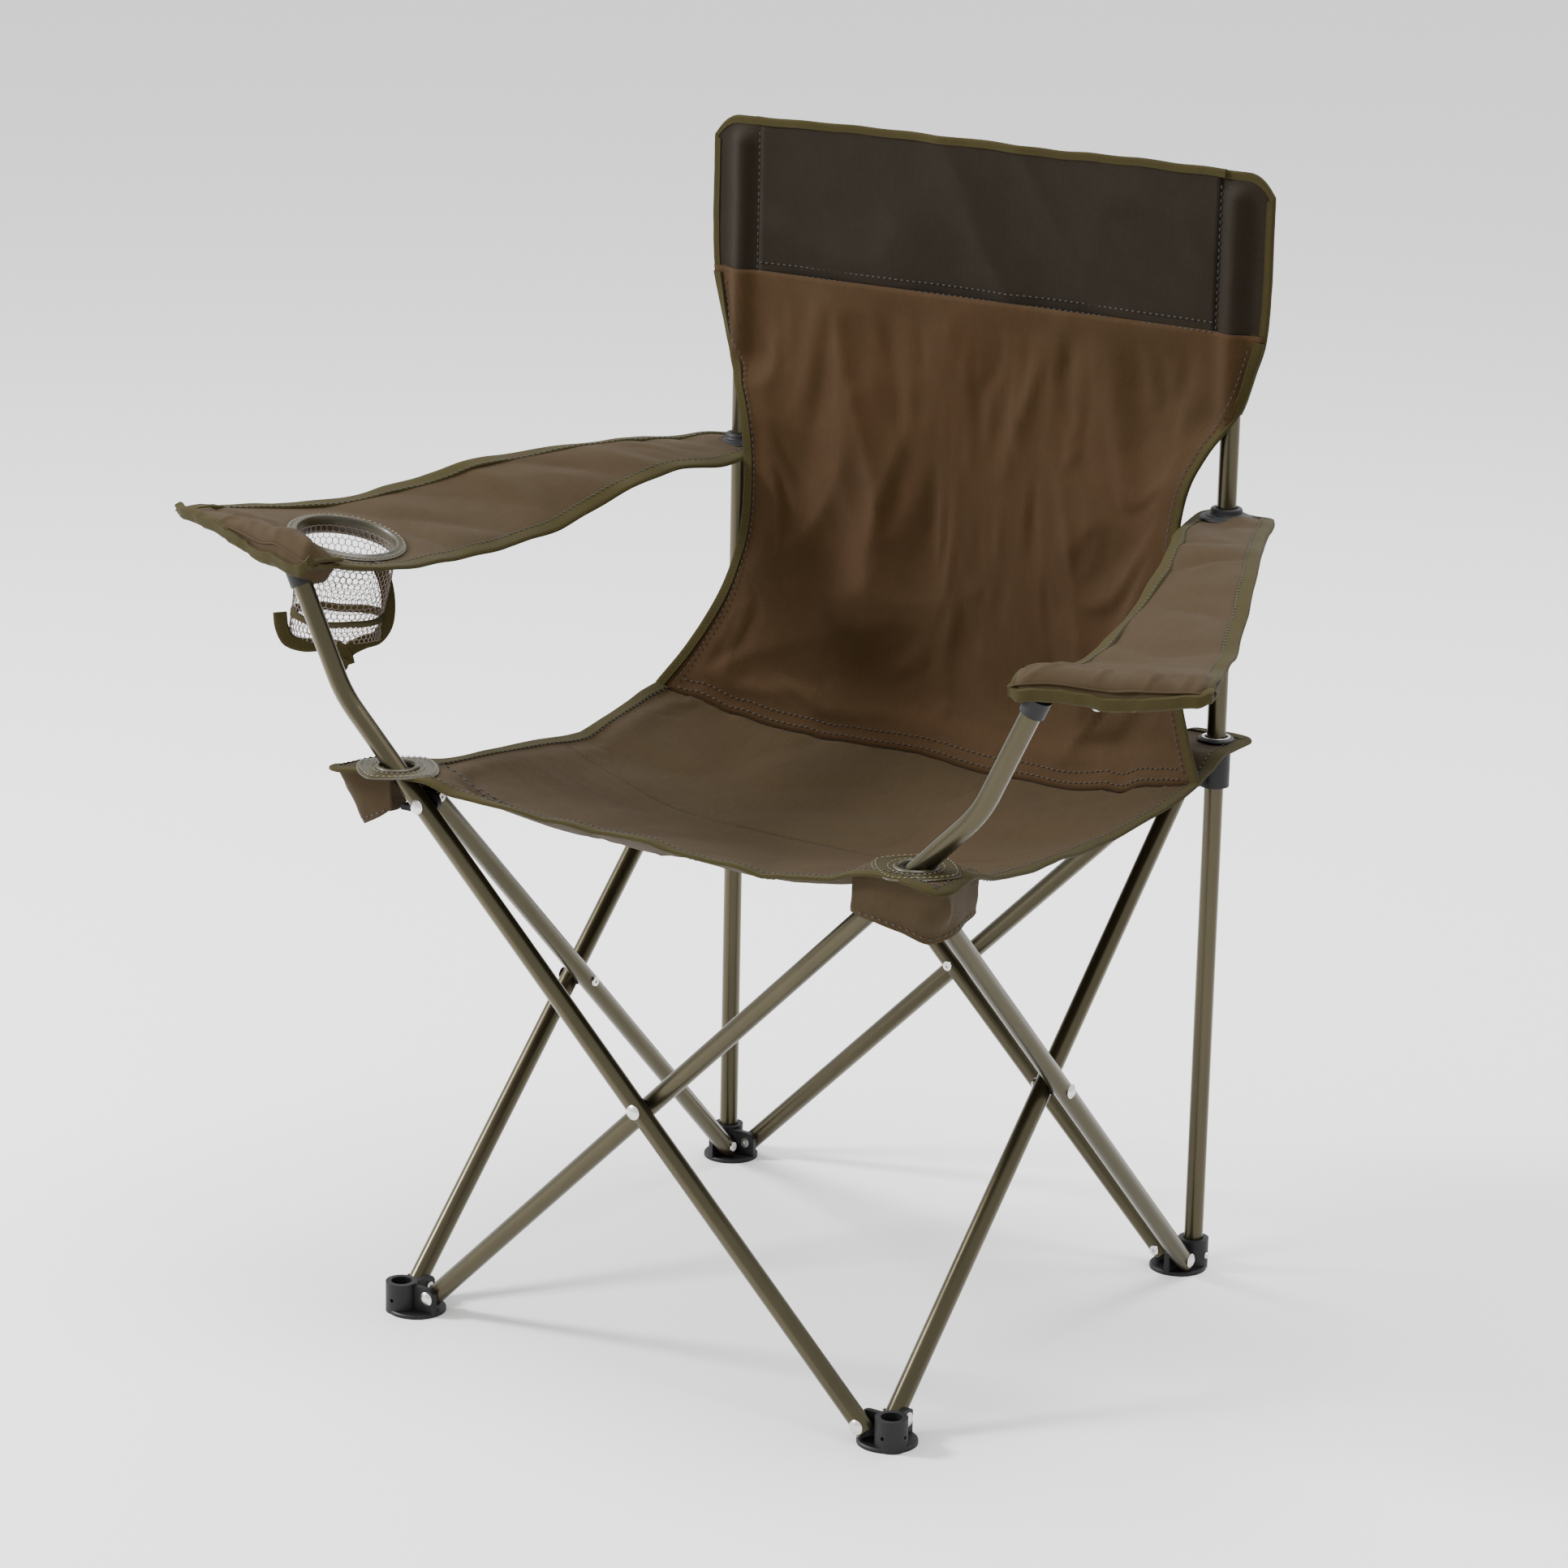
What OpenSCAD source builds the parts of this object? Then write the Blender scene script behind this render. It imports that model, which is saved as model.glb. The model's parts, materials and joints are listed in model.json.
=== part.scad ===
// Folding quad camp chair: eight crossed tubes, two rear posts, four moulded feet,
// two sliding collars, two front corner brackets and a sewn fabric seat.
// The chair faces -Y. The ground is z = 0.

/* [Tubes] */
// Outer diameter of every frame tube
tube_d = 16; // [14:0.5:18]
// Wall thickness of the tubes
tube_wall = 1.2; // [0.8:0.1:2]
// Pivot to pivot length of each crossed tube
leg_length = 602; // [570:1:660]
// Distance between the two foot pivots of one side with the chair open
pivot_span = 428; // [380:1:460]
// Length of tube beyond each end pivot
tube_end = 7; // [6:0.5:9]
// Height of the top ends of the rear posts
post_top = 915; // [860:1:960]
// Air between the two crossing tubes of a side
side_gap = 1.4; // [1.2:0.1:3]

/* [Arm posts] */
// Distance along the tube from the top pivot to the corner of the bend
arm_bend_at = 112; // [80:1:130]
// Lean of the upper part of the arm post, from vertical
arm_lean = 26; // [18:1:32]
// Radius of the bend along the middle of the tube
arm_bend_r = 100; // [60:1:130]
// Length of the arm post beyond the corner of the bend
arm_upper = 105; // [80:1:130]

/* [Feet and brackets] */
// Height of the foot pivots above the ground
pivot_h = 15; // [13.5:0.5:20]
// Radius of the round base of a foot
base_r = 24.2; // [23:0.1:30]
// Thickness of the base of a foot
base_t = 3.5; // [2.5:0.5:5]
// Height of the post socket of a foot
socket_h = 26; // [22:1:40]
// Wall thickness around the post socket
socket_wall = 4.5; // [3:0.5:6]
// Thickness of the lugs that the tubes pivot on
lug_t = 5; // [4:0.5:6]
// Radius of the round end of a lug
lug_r = 9; // [8:0.5:10]
// Wall thickness of the sliding collars
collar_wall = 4.1; // [3:0.1:4.5]
// Height of the sliding collars
collar_h = 36; // [32:1:50]

/* [Rivets] */
// Diameter of the rivet shanks
rivet_d = 5; // [4:0.5:6]
// Diameter of the rivet heads
rivet_head_d = 12; // [9:0.5:13]
// Thickness of the washer between crossing tubes
washer_t = 0.8; // [0.5:0.1:0.8]

/* [Fabric] */
// Thickness of the stand-in for the cloth
cloth_t = 3; // [2:0.5:3.5]
// Height of the top edge of the backrest above the post tops
back_over = 21; // [12:1:40]
// Height of the dark band at the top of the backrest
band_h = 132; // [80:1:160]
// Length of the post sleeve below the band
sleeve_below = 60; // [20:1:80]
// How far the seat hangs below its corners in the middle
seat_sag = 32; // [10:1:45]
// Overhang of the seat in front of the foot pivots
seat_front = 50; // [40:1:60]
// Half width of the backrest at its waist
waist = 212; // [190:1:216]

/* [Armrests] */
// Height of the rear end of the armrests
arm_rear_z = 650; // [600:1:690]
// Outer reach of the front end of the armrests from the middle of the chair
arm_reach = 484; // [440:1:520]
// Outer diameter of the grommets on the posts
grommet_d = 44; // [34:1:50]
// Inner diameter of the cup ring
cup_d = 82; // [70:1:86]
// Width of the cup ring's flange
cup_flange = 9; // [6:1:10]
// Depth of the mesh cup bag
cup_depth = 74; // [50:1:100]

/* [Hidden] */
$fn = 48;

olive_paint = [0.29, 0.27, 0.2];
black_plastic = [0.06, 0.06, 0.065];
steel = [0.75, 0.75, 0.76];
seat_cloth = [0.41, 0.34, 0.24];
back_cloth = [0.33, 0.23, 0.14];
band_cloth = [0.21, 0.18, 0.13];
flange_vinyl = [0.36, 0.31, 0.2];

gap = 0.3;                    // air between pieces that move on each other
pin_gap = 0.1;                // radial play of a rivet in its hole
tube_r = tube_d / 2;
pivot_half = pivot_span / 2;
open_lean = asin(pivot_span / leg_length);
top_h = pivot_h + leg_length * cos(open_lean);
end_reach = sqrt(tube_end * tube_end + tube_r * tube_r);
end_gap = 1.4;                // from a tube's swinging end to the foot socket
socket_bore = tube_r + 0.5;
socket_r = socket_bore + socket_wall;
post_at = pivot_half + end_reach + end_gap + socket_r;
outer_plane = post_at + 4;
inner_plane = outer_plane - tube_d - side_gap;
wall_out = outer_plane - tube_r - gap;     // lug on the inner side of an outer tube
wall_in = wall_out - lug_t;
ear_in = inner_plane + tube_r + gap;       // lug on the outer side of an inner tube
ear_out = ear_in + lug_t;
base_at = pivot_half + 16;
rivet_r = rivet_d / 2;
hole_r = rivet_r + pin_gap;
head_h = 2.4;
tail_h = 1.5;
seat_z = top_h + 24.6;                     // height of the seat's corners
ring_id = tube_d * 1.42 + 4.5;             // lets the leaning arm post pass
ring_lift = (seat_z - top_h) * tan(open_lean);

// ---------- places that repeat ----------

// side 0 is the front, 1 the right, 2 the rear and 3 the left
module side(k) rotate([0, 0, 90 * k]) children();

// an outer tube's own frame: foot pivot at the origin, tube along +Z, outside at -Y
module on_outer() translate([pivot_half, -outer_plane, pivot_h]) rotate([0, -open_lean, 0]) children();
// an inner tube's own frame, in the same way
module on_inner() translate([-pivot_half, -inner_plane, pivot_h]) rotate([0, open_lean, 0]) children();

module cross_hole(z) translate([0, 0, z]) rotate([90, 0, 0]) cylinder(r = hole_r, h = tube_d + 4, center = true);

module tube_holes() for (z = [0, leg_length / 2, leg_length]) cross_hole(z);
module pipe(h) difference() {
    cylinder(r = tube_r, h = h);
    translate([0, 0, -1]) cylinder(r = tube_r - tube_wall, h = h + 2);
}
module crossed_tube() color(olive_paint) difference() {
    translate([0, 0, -tube_end]) pipe(leg_length + 2 * tube_end);
    tube_holes();
}

// arm post: a crossed tube that goes on above its top pivot and bends up
bend = open_lean - arm_lean;
bend_cut = arm_bend_r * tan(bend / 2);
bend_from = leg_length + arm_bend_at - bend_cut;
bend_lap = 0.5;               // degrees that the bent stretch reaches into the straight ones
bend_inset = 0.02;            // and how far inside their surfaces it stays there
// frame with its origin at the corner of the bend and +Z along the upper part
module arm_top_frame() translate([0, 0, leg_length + arm_bend_at]) rotate([0, -bend, 0]) children();
module arm_tube() color(olive_paint) difference() {
    union() {
        translate([0, 0, -tube_end]) pipe(bend_from + tube_end);
        translate([-arm_bend_r, 0, bend_from]) rotate([90, 0, 0]) rotate([0, 0, -bend_lap])
            rotate_extrude(angle = bend + 2 * bend_lap) translate([arm_bend_r, 0]) difference() {
                circle(r = tube_r - bend_inset);
                circle(r = tube_r - tube_wall + bend_inset);
            }
        arm_top_frame() translate([0, 0, bend_cut]) pipe(arm_upper - bend_cut);
    }
    tube_holes();
}
tip_wall = 2;
tip_grip = 12;
module arm_tip() color(black_plastic) arm_top_frame() translate([0, 0, arm_upper]) difference() {
    translate([0, 0, -tip_grip]) cylinder(r = tube_r + tip_wall + 0.05, h = tip_grip + tip_wall);
    translate([0, 0, -tip_grip - 1]) cylinder(r = tube_r + 0.05, h = tip_grip + 1);
}

// rivet along +Z: the domed head sits on z = 0 and the rolled tail is grip below
module rivet(grip) color(steel) {
    dome_r = (pow(rivet_head_d / 2, 2) + head_h * head_h) / (2 * head_h);
    intersection() {
        translate([0, 0, head_h - dome_r]) sphere(r = dome_r);
        cylinder(r = rivet_head_d / 2, h = head_h);
    }
    translate([0, 0, -grip]) cylinder(r = rivet_r, h = grip + 0.2);
    translate([0, 0, -grip - tail_h]) difference() {
        cylinder(r = rivet_r + 1.6, h = tail_h);
        translate([0, 0, -0.4]) cylinder(r = rivet_r - 0.9, h = tail_h);
    }
}
// a rivet at height z of a tube, head outwards at distance out from the tube's middle
module tube_rivet(z, out, grip) translate([0, -out, z]) rotate([90, 0, 0]) rivet(grip);

lift = 0.1;
module rivets_outer() on_outer() {
    for (z = [0, leg_length]) tube_rivet(z, tube_r + lift, tube_d + gap + lug_t + 2 * lift);
    tube_rivet(leg_length / 2, tube_r + lift, 2 * tube_d + side_gap + 2 * lift);
}
module rivets_inner() on_inner() {
    for (z = [0, leg_length]) tube_rivet(z, tube_r + gap + lug_t + lift, tube_d + gap + lug_t + 2 * lift);
}
module washer() color(black_plastic) on_inner() translate([0, -tube_r - (side_gap + washer_t) / 2, leg_length / 2])
    rotate([-90, 0, 0]) difference() {
        cylinder(r = rivet_head_d / 2, h = washer_t);
        translate([0, 0, -1]) cylinder(r = hole_r, h = washer_t + 2);
    }

// ---------- moulded corner pieces, in the frame of the front right foot ----------

module lug_hole_outer(z) translate([pivot_half, -wall_in + 1, z]) rotate([90, 0, 0]) cylinder(r = hole_r, h = lug_t + 2);
module lug_hole_inner(z) translate([ear_in - 1, -pivot_half, z]) rotate([0, 90, 0]) cylinder(r = hole_r, h = lug_t + 2);

// the two lugs of a corner: down is how far they reach below the pivot,
// arm_up and arm_down bound the arms that join them to the post's place
module lugs(z, down, arm_down, arm_up) {
    translate([pivot_half, -wall_in, z]) rotate([90, 0, 0]) cylinder(r = lug_r, h = lug_t);
    if (down > 0) translate([pivot_half - lug_r, -wall_out, z - down]) cube([2 * lug_r, lug_t, down]);
    translate([pivot_half, -wall_out, z - arm_down]) cube([ear_out - pivot_half, lug_t, arm_down + arm_up]);
    translate([ear_in, -pivot_half, z]) rotate([0, 90, 0]) cylinder(r = lug_r, h = lug_t);
    if (down > 0) translate([ear_in, -pivot_half - lug_r, z - down]) cube([lug_t, 2 * lug_r, down]);
    translate([ear_in, -ear_out, z - arm_down]) cube([lug_t, ear_out - pivot_half, arm_down + arm_up]);
    translate([wall_in, -ear_out, z - arm_down]) cube([ear_out - wall_in, ear_out - wall_in, arm_down + arm_up]);
}

screw_z = 12;
module side_hole(r, long) translate([post_at, -post_at, screw_z]) rotate([90, 0, 0]) cylinder(r = r, h = long);
module foot() color(black_plastic) difference() {
    union() {
        translate([base_at, -base_at, 0]) cylinder(r = base_r, h = base_t - 1);
        translate([base_at, -base_at, base_t - 1]) cylinder(r1 = base_r, r2 = base_r - 1, h = 1);
        translate([post_at, -post_at, 0]) cylinder(r = socket_r, h = socket_h);
        intersection() {
            lugs(pivot_h, pivot_h, pivot_h, lug_r);
            translate([base_at, -base_at, 0]) cylinder(r = base_r, h = pivot_h + lug_r + 1);
        }
    }
    translate([post_at, -post_at, base_t]) cylinder(r = socket_bore, h = socket_h);
    lug_hole_outer(pivot_h);
    lug_hole_inner(pivot_h);
    side_hole(1.6, socket_r + 1);
    translate([post_at, -post_at, screw_z]) rotate([0, 90, 0]) cylinder(r = 1.6, h = socket_r + 1);
}
// screw that holds a post in its socket
screw_head_r = 2.8;
module post_screw() color(steel) {
    translate([0, -socket_r - 0.1, 0]) translate([post_at, -post_at, screw_z]) rotate([90, 0, 0])
        cylinder(r1 = screw_head_r, r2 = screw_head_r - 0.8, h = 1.6);
    translate([0, -socket_r + 9, 0]) translate([post_at, -post_at, screw_z]) rotate([90, 0, 0])
        cylinder(r = 1.45, h = 9.2);
}
module post() color(olive_paint) difference() {
    translate([post_at, -post_at, base_t]) cylinder(r = tube_r, h = post_top - base_t);
    translate([post_at, -post_at, base_t - 1]) cylinder(r = tube_r - tube_wall, h = post_top);
    side_hole(1.6, socket_r);
}
module post_cap() color(black_plastic) translate([post_at, -post_at, post_top]) {
    cylinder(r = tube_r - 0.5, h = 2.5);
    translate([0, 0, -12]) cylinder(r = tube_r - tube_wall - 0.05, h = 12.1);
}

// top pieces are the mirror image of the foot's lugs
module at_top() mirror([1, 1, 0]) children();
module top_holes() at_top() {
    lug_hole_outer(top_h);
    lug_hole_inner(top_h);
}
collar_r = tube_r + 0.4 + collar_wall;
collar_top = seat_z - cloth_t / 2 - 0.5;
module collar() color(black_plastic) difference() {
    union() {
        at_top() lugs(top_h, 0, lug_r, lug_r);
        translate([post_at, -post_at, collar_top - collar_h]) cylinder(r = collar_r, h = collar_h);
    }
    translate([post_at, -post_at, collar_top - collar_h - 1]) cylinder(r = tube_r + 0.4, h = collar_h + 2);
    top_holes();
}
module bracket() color(black_plastic) difference() {
    at_top() lugs(top_h, 0, lug_r, -lug_r / 2);
    top_holes();
}

// ---------- rings and sewn patches ----------

module flat_ring(r_in, r_out, t) difference() {
    cylinder(r = r_out, h = t);
    translate([0, 0, -1]) cylinder(r = r_in, h = t + 2);
}
patch_t = 1.2;
ring_t = 2;
ring_rim = 6;
ring_x = pivot_half + ring_lift;
ring_up = cloth_t / 2 + gap + ring_t / 2;
// place of a front ring at height up above the seat's middle, on the leaning arm post
module at_front_ring(s, up = 0)
    translate([s * (ring_x + up * tan(open_lean)), s < 0 ? -outer_plane : -inner_plane, seat_z + up]) children();
// patch: a rounded square set cornerwise, sewn on the seat around the arm post
patch_half = 30;
patch_bend = 8;
module patch(s) color(flange_vinyl) at_front_ring(s, ring_up) translate([0, 0, -ring_t / 2]) difference() {
    linear_extrude(patch_t) rotate(45) offset(r = patch_bend) square(2 * (patch_half - patch_bend), center = true);
    translate([0, 0, -1]) cylinder(r = ring_id / 2 + ring_rim - 1.5, h = patch_t + 2);
}
module front_ring(s) color(black_plastic) at_front_ring(s, ring_up) translate([0, 0, -ring_t / 2])
    flat_ring(ring_id / 2, ring_id / 2 + ring_rim - 2, ring_t);
module rear_ring(s) color(black_plastic) translate([s * post_at, post_at, seat_z + cloth_t / 2 + gap])
    flat_ring(tube_r + 0.4, tube_r + 8, ring_t);
hub_r = tube_r + 3.5;
module arm_grommet(s) color(black_plastic) translate([s * post_at, post_at, arm_rear_z]) difference() {
    union() {
        translate([0, 0, cloth_t / 2 + 1.4]) cylinder(r1 = grommet_d / 2, r2 = grommet_d / 2 - 1.5, h = 3);
        translate([0, 0, -4]) cylinder(r = hub_r, h = 12);
    }
    translate([0, 0, -5]) cylinder(r = tube_r + 0.4, h = 14);
}

// ---------- cloth stand-ins ----------

// closed sheet over a grid of points: mid(u, v) with u, v from 0 to 1, thick along dir
module sheet(nu, nv, mid, dir, t = cloth_t) {
    n = (nu + 1) * (nv + 1);
    half = dir * t / 2;
    points = [for (k = [-1, 1], j = [0:nv], i = [0:nu]) mid(i / nu, j / nv) + k * half];
    a = function(i, j) j * (nu + 1) + i;
    faces = concat(
        [for (j = [0:nv - 1], i = [0:nu - 1]) [a(i, j), a(i + 1, j), a(i + 1, j + 1)]],
        [for (j = [0:nv - 1], i = [0:nu - 1]) [a(i, j), a(i + 1, j + 1), a(i, j + 1)]],
        [for (j = [0:nv - 1], i = [0:nu - 1]) [n + a(i, j), n + a(i + 1, j + 1), n + a(i + 1, j)]],
        [for (j = [0:nv - 1], i = [0:nu - 1]) [n + a(i, j), n + a(i, j + 1), n + a(i + 1, j + 1)]],
        [for (i = [0:nu - 1]) [a(i, 0), n + a(i + 1, 0), a(i + 1, 0)]],
        [for (i = [0:nu - 1]) [a(i, 0), n + a(i, 0), n + a(i + 1, 0)]],
        [for (i = [0:nu - 1]) [a(i, nv), a(i + 1, nv), n + a(i + 1, nv)]],
        [for (i = [0:nu - 1]) [a(i, nv), n + a(i + 1, nv), n + a(i, nv)]],
        [for (j = [0:nv - 1]) [a(0, j), a(0, j + 1), n + a(0, j + 1)]],
        [for (j = [0:nv - 1]) [a(0, j), n + a(0, j + 1), n + a(0, j)]],
        [for (j = [0:nv - 1]) [a(nu, j), n + a(nu, j + 1), a(nu, j + 1)]],
        [for (j = [0:nv - 1]) [a(nu, j), n + a(nu, j), n + a(nu, j + 1)]]);
    polyhedron(points = points, faces = faces);
}
function mix(a, b, t) = a + (b - a) * t;
function clamp01(t) = min(1, max(0, t));
function ease(t) = let (c = clamp01(t)) c * c * (3 - 2 * c);

// seat: y of the front and rear edges, and of the lowest part of the side edges
seat_y0 = -pivot_half - seat_front;
seat_y1 = post_at + 25;
seat_low = 35;
seat_dip = seat_sag;                       // drop of the side edges below the corners
function side_z(y) = y < seat_low
    ? seat_z - seat_dip + (seat_dip - 5) * pow((seat_low - y) / (seat_low - seat_y0), 1.2)
    : seat_z - seat_dip + seat_dip * pow(min(1, (y - seat_low) / (post_at - seat_low)), 1.2);
function side_x(y) = y < seat_low
    ? post_at + 21 + 22 * pow((seat_low - y) / (seat_low - seat_y0), 1.2)
    : post_at + 21 + 8 * clamp01((y - seat_low) / 100) - 6 * ease((y - 160) / 80);
function seat_height(x, y) = let (
    e = clamp01(abs(x) / side_x(y)),
    hang = 6 + seat_sag * (1 - pow((y - 60) / (60 - seat_y0), 2)))
    side_z(y) - hang * (1 - e * e);
// the four corners lie level around their rings
function corner_level(x, y) = let (
    dy = y < 0 ? y + inner_plane + tube_r : y - post_at,
    dx = abs(x) - (y < 0 ? ring_x : post_at))
    1 - ease((sqrt(dx * dx + dy * dy) - 36) / 30);
function seat_at(x, y) = [x, y, mix(seat_height(x, y), seat_z, corner_level(x, y))];
function seat_point(u, y) = seat_at((2 * u - 1) * side_x(y), y + 14 * (y < 0 ? pow(y / seat_y0, 4) : 0)
    * 4 * u * (1 - u));

fold_gap = 1;
ring_hole_r = ring_id / 2 + ring_rim - 1.2;
module seat_front_half() color(seat_cloth) difference() {
    sheet(24, 14, function(u, v) seat_point(u, mix(seat_y0, -fold_gap, v)), [0, 0, 1]);
    for (s = [-1, 1]) at_front_ring(s) cylinder(r = ring_hole_r, h = 4 * cloth_t, center = true);
}
module seat_rear_half() color(seat_cloth) difference() {
    sheet(24, 14, function(u, v) seat_point(u, mix(fold_gap, seat_y1, v)), [0, 0, 1]);
    for (s = [-1, 1]) translate([s * post_at, post_at, seat_z])
        cylinder(r = tube_r + 4, h = 4 * cloth_t, center = true);
}

// backrest: half width and depth of its edge at height z
back_top = post_top + back_over;
band_low = back_top - band_h;
sleeve_low = band_low - sleeve_below;
back_front = post_at - tube_r - gap - cloth_t / 2 - 0.3;
waist_y = 206;
seam_x = 270;
seam_y = 156;
function back_x(z) = z > sleeve_low
    ? post_at - 5
    : z > 620 ? mix(waist, post_at - 5, ease((z - 640) / (sleeve_low - 640)))
    : waist + (seam_x - waist) * pow(clamp01((620 - z) / (620 - seat_z + 10)), 1.3);
function back_y(z) = z > 617
    ? mix(waist_y, back_front, ease((z - 680) / (sleeve_low - 680)))
    : mix(seam_y, waist_y, clamp01((z - seat_z + 10) / (617 - seat_z + 10)));
function back_belly(z) = 32 * pow(clamp01((sleeve_low - z) / (sleeve_low - seat_z)), 0.8);
function back_at(u, z) = let (s = 2 * u - 1)
    [s * back_x(z), back_y(z) + back_belly(z) * (1 - s * s), z];
function back_low(u) = let (p = back_at(u, seat_z - 10 - 26 * 4 * u * (1 - u)))
    seat_at(p[0], p[1])[2] + cloth_t + 1.5;
function back_point(u, v) = let (b = back_low(u)) back_at(u, mix(b, band_low - 0.5, v));

wing = 31;                                 // from the post's middle to the sleeve's edge
module sleeve(z0, z1) for (s = [-1, 1]) translate([s * post_at, post_at, z0]) difference() {
    union() {
        cylinder(r = tube_r + 0.4 + cloth_t, h = z1 - z0);
        translate([s < 0 ? -wing : 0, -cloth_t / 2, 0]) cube([wing, cloth_t, z1 - z0]);
    }
    translate([0, 0, -1]) cylinder(r = tube_r + 0.4, h = z1 - z0 + 2);
}
module back_panel() color(back_cloth) {
    sheet(20, 28, function(u, v) back_point(1 - u, v), [0, 1, 0]);
    sleeve(sleeve_low, band_low - 0.5);
}
module back_band() color(band_cloth) {
    translate([-post_at + 5, back_front - cloth_t / 2, band_low]) cube([2 * post_at - 10, cloth_t, band_h]);
    sleeve(band_low, back_top);
}

// armrest: edges of the right armrest from rear to front, as
// [y, inner x, inner z, outer x, outer z], measured from the rear post and its height
arm_edges = [
    [23, -25, 0, 33, 0], [-24, -25, -1, 56, 1], [-70, -11, -8, 76, 2], [-110, 7, -8, 92, 3],
    [-180, 25, -29, 123, 2], [-240, 35, -43, 151, -8], [-300, 48, -48, 176, -17],
    [-360, 47, -46, 200, -19], [-441, 64, -39, 235, -13]];
arm_w = arm_reach - post_at - 245;         // extra reach of the front, shared along the edge
function arm_row(k) = arm_edges[k];
function arm_point(u, v) = let (
    k = min(len(arm_edges) - 2, floor(u * (len(arm_edges) - 1))),
    t = u * (len(arm_edges) - 1) - k,
    a = mix(arm_row(k), arm_row(k + 1), t))
    [post_at + mix(a[1], a[3] + arm_w * u, v), post_at + a[0], arm_rear_z + mix(a[2], a[4], v)];
module arm_strip() difference() {
    sheet(16, 6, function(u, v) arm_point(u, v), [0, 0, 1]);
    translate([post_at, post_at, arm_rear_z]) cylinder(r = hub_r + 1.5, h = 6 * cloth_t, center = true);
}
cup_x = 362;
cup_y = -153;
cup_roll = 12;
cup_z = arm_rear_z - 32;
cup_out = cup_d / 2 + cup_flange;
module at_cup() translate([-cup_x, cup_y, cup_z]) rotate([0, cup_roll, 0]) children();
module armrest_right() color(seat_cloth) arm_strip();
module armrest_left() color(seat_cloth) difference() {
    mirror([1, 0, 0]) arm_strip();
    at_cup() cylinder(r = cup_out + 1, h = 40, center = true);
}
module cup_ring() color(flange_vinyl) at_cup() translate([0, 0, -cloth_t / 2]) flat_ring(cup_d / 2, cup_out, cloth_t);
bag_r = cup_d / 2 + 4;
bag_top = cup_z - cup_out * sin(cup_roll) - 6;
bag_wall = 1.5;
bag_shift = 8;                             // the bag hangs a little outside the ring's middle
module cup_bag() color(seat_cloth) translate([-cup_x - bag_shift, cup_y - 3, bag_top - cup_depth]) difference() {
    cylinder(r = bag_r, h = cup_depth);
    translate([0, 0, bag_wall]) cylinder(r = bag_r - bag_wall, h = cup_depth);
}

// hood: the sewn pocket at the front of an armrest that the arm post's tip sits in
hood_back = -(pivot_half - 9);
hood_in = 322;
module arm_hood(s) color(seat_cloth) {
    plane = s < 0 ? outer_plane : inner_plane;
    front = plane + tube_r + 8;
    difference() {
        hull() {
            translate([s < 0 ? -hood_in - 20 : hood_in, -front, arm_rear_z - 42]) cube([20, front + hood_back, 24]);
            translate([s < 0 ? -arm_reach : arm_reach - 8, -pivot_half - 14, arm_rear_z - 22])
                cube([8, pivot_half + 14 + hood_back, 9]);
        }
        mirror([s < 0 ? 1 : 0, 0, 0]) translate([-pivot_half, -plane, pivot_h]) rotate([0, open_lean, 0])
            arm_top_frame() cylinder(r = tube_r + tip_wall + 1, h = arm_upper + tip_wall + 1);
    }
}

// flap: doubled cloth that hangs under a front corner of the seat
flap_drop = 44;
flap_t = 1.5;
module corner_flap(s) color(seat_cloth) mirror([s < 0 ? 1 : 0, 0, 0])
    translate([ring_x, seat_y0, seat_z - cloth_t - 5]) {
        rotate([90, 0, 0]) translate([0, 0, -1 - flap_t])
            linear_extrude(flap_t) polygon([[-52, 0], [40, 0], [36, -flap_drop + 14], [24, -flap_drop], [8, -flap_drop + 4]]);
        translate([40 - flap_t, 1, 0]) rotate([90, 0, 90])
            linear_extrude(flap_t) polygon([[0, 0], [60, 0], [0, -flap_drop + 14]]);
    }

// the middle of the whole depth, from the front patch to the rear end of the seat, is at y = 0
front_reach = outer_plane + (patch_half - patch_bend) * sqrt(2) + patch_bend;
depth_shift = (front_reach - seat_y1) / 2;
module centred() translate([0, depth_shift, 0]) children();

centred() side(3) foot();  // foot_front_left
centred() side(0) foot();  // foot_front_right
centred() side(2) foot();  // foot_rear_left
centred() side(1) foot();  // foot_rear_right
centred() side(2) post();  // post_left
centred() side(1) post();  // post_right
centred() side(2) post_cap();  // post_cap_left
centred() side(1) post_cap();  // post_cap_right
centred() side(2) post_screw();  // post_screw_left
centred() side(1) post_screw();  // post_screw_right
centred() on_outer() mirror([1, 0, 0]) arm_tube();  // arm_post_left
centred() on_inner() arm_tube();  // arm_post_right
centred() on_outer() mirror([1, 0, 0]) arm_tip();  // arm_tip_left
centred() on_inner() arm_tip();  // arm_tip_right
centred() side(1) on_outer() crossed_tube();  // tube_right_outer
centred() side(1) on_inner() crossed_tube();  // tube_right_inner
centred() side(2) on_outer() crossed_tube();  // tube_rear_outer
centred() side(2) on_inner() crossed_tube();  // tube_rear_inner
centred() side(3) on_outer() crossed_tube();  // tube_left_outer
centred() side(3) on_inner() crossed_tube();  // tube_left_inner
centred() side(0) rivets_outer();  // rivets_front_outer
centred() side(0) rivets_inner();  // rivets_front_inner
centred() side(1) rivets_outer();  // rivets_right_outer
centred() side(1) rivets_inner();  // rivets_right_inner
centred() side(2) rivets_outer();  // rivets_rear_outer
centred() side(2) rivets_inner();  // rivets_rear_inner
centred() side(3) rivets_outer();  // rivets_left_outer
centred() side(3) rivets_inner();  // rivets_left_inner
centred() side(0) washer();  // washer_front
centred() side(1) washer();  // washer_right
centred() side(2) washer();  // washer_rear
centred() side(3) washer();  // washer_left
centred() side(2) collar();  // collar_left
centred() side(1) collar();  // collar_right
centred() side(3) bracket();  // bracket_left
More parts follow.
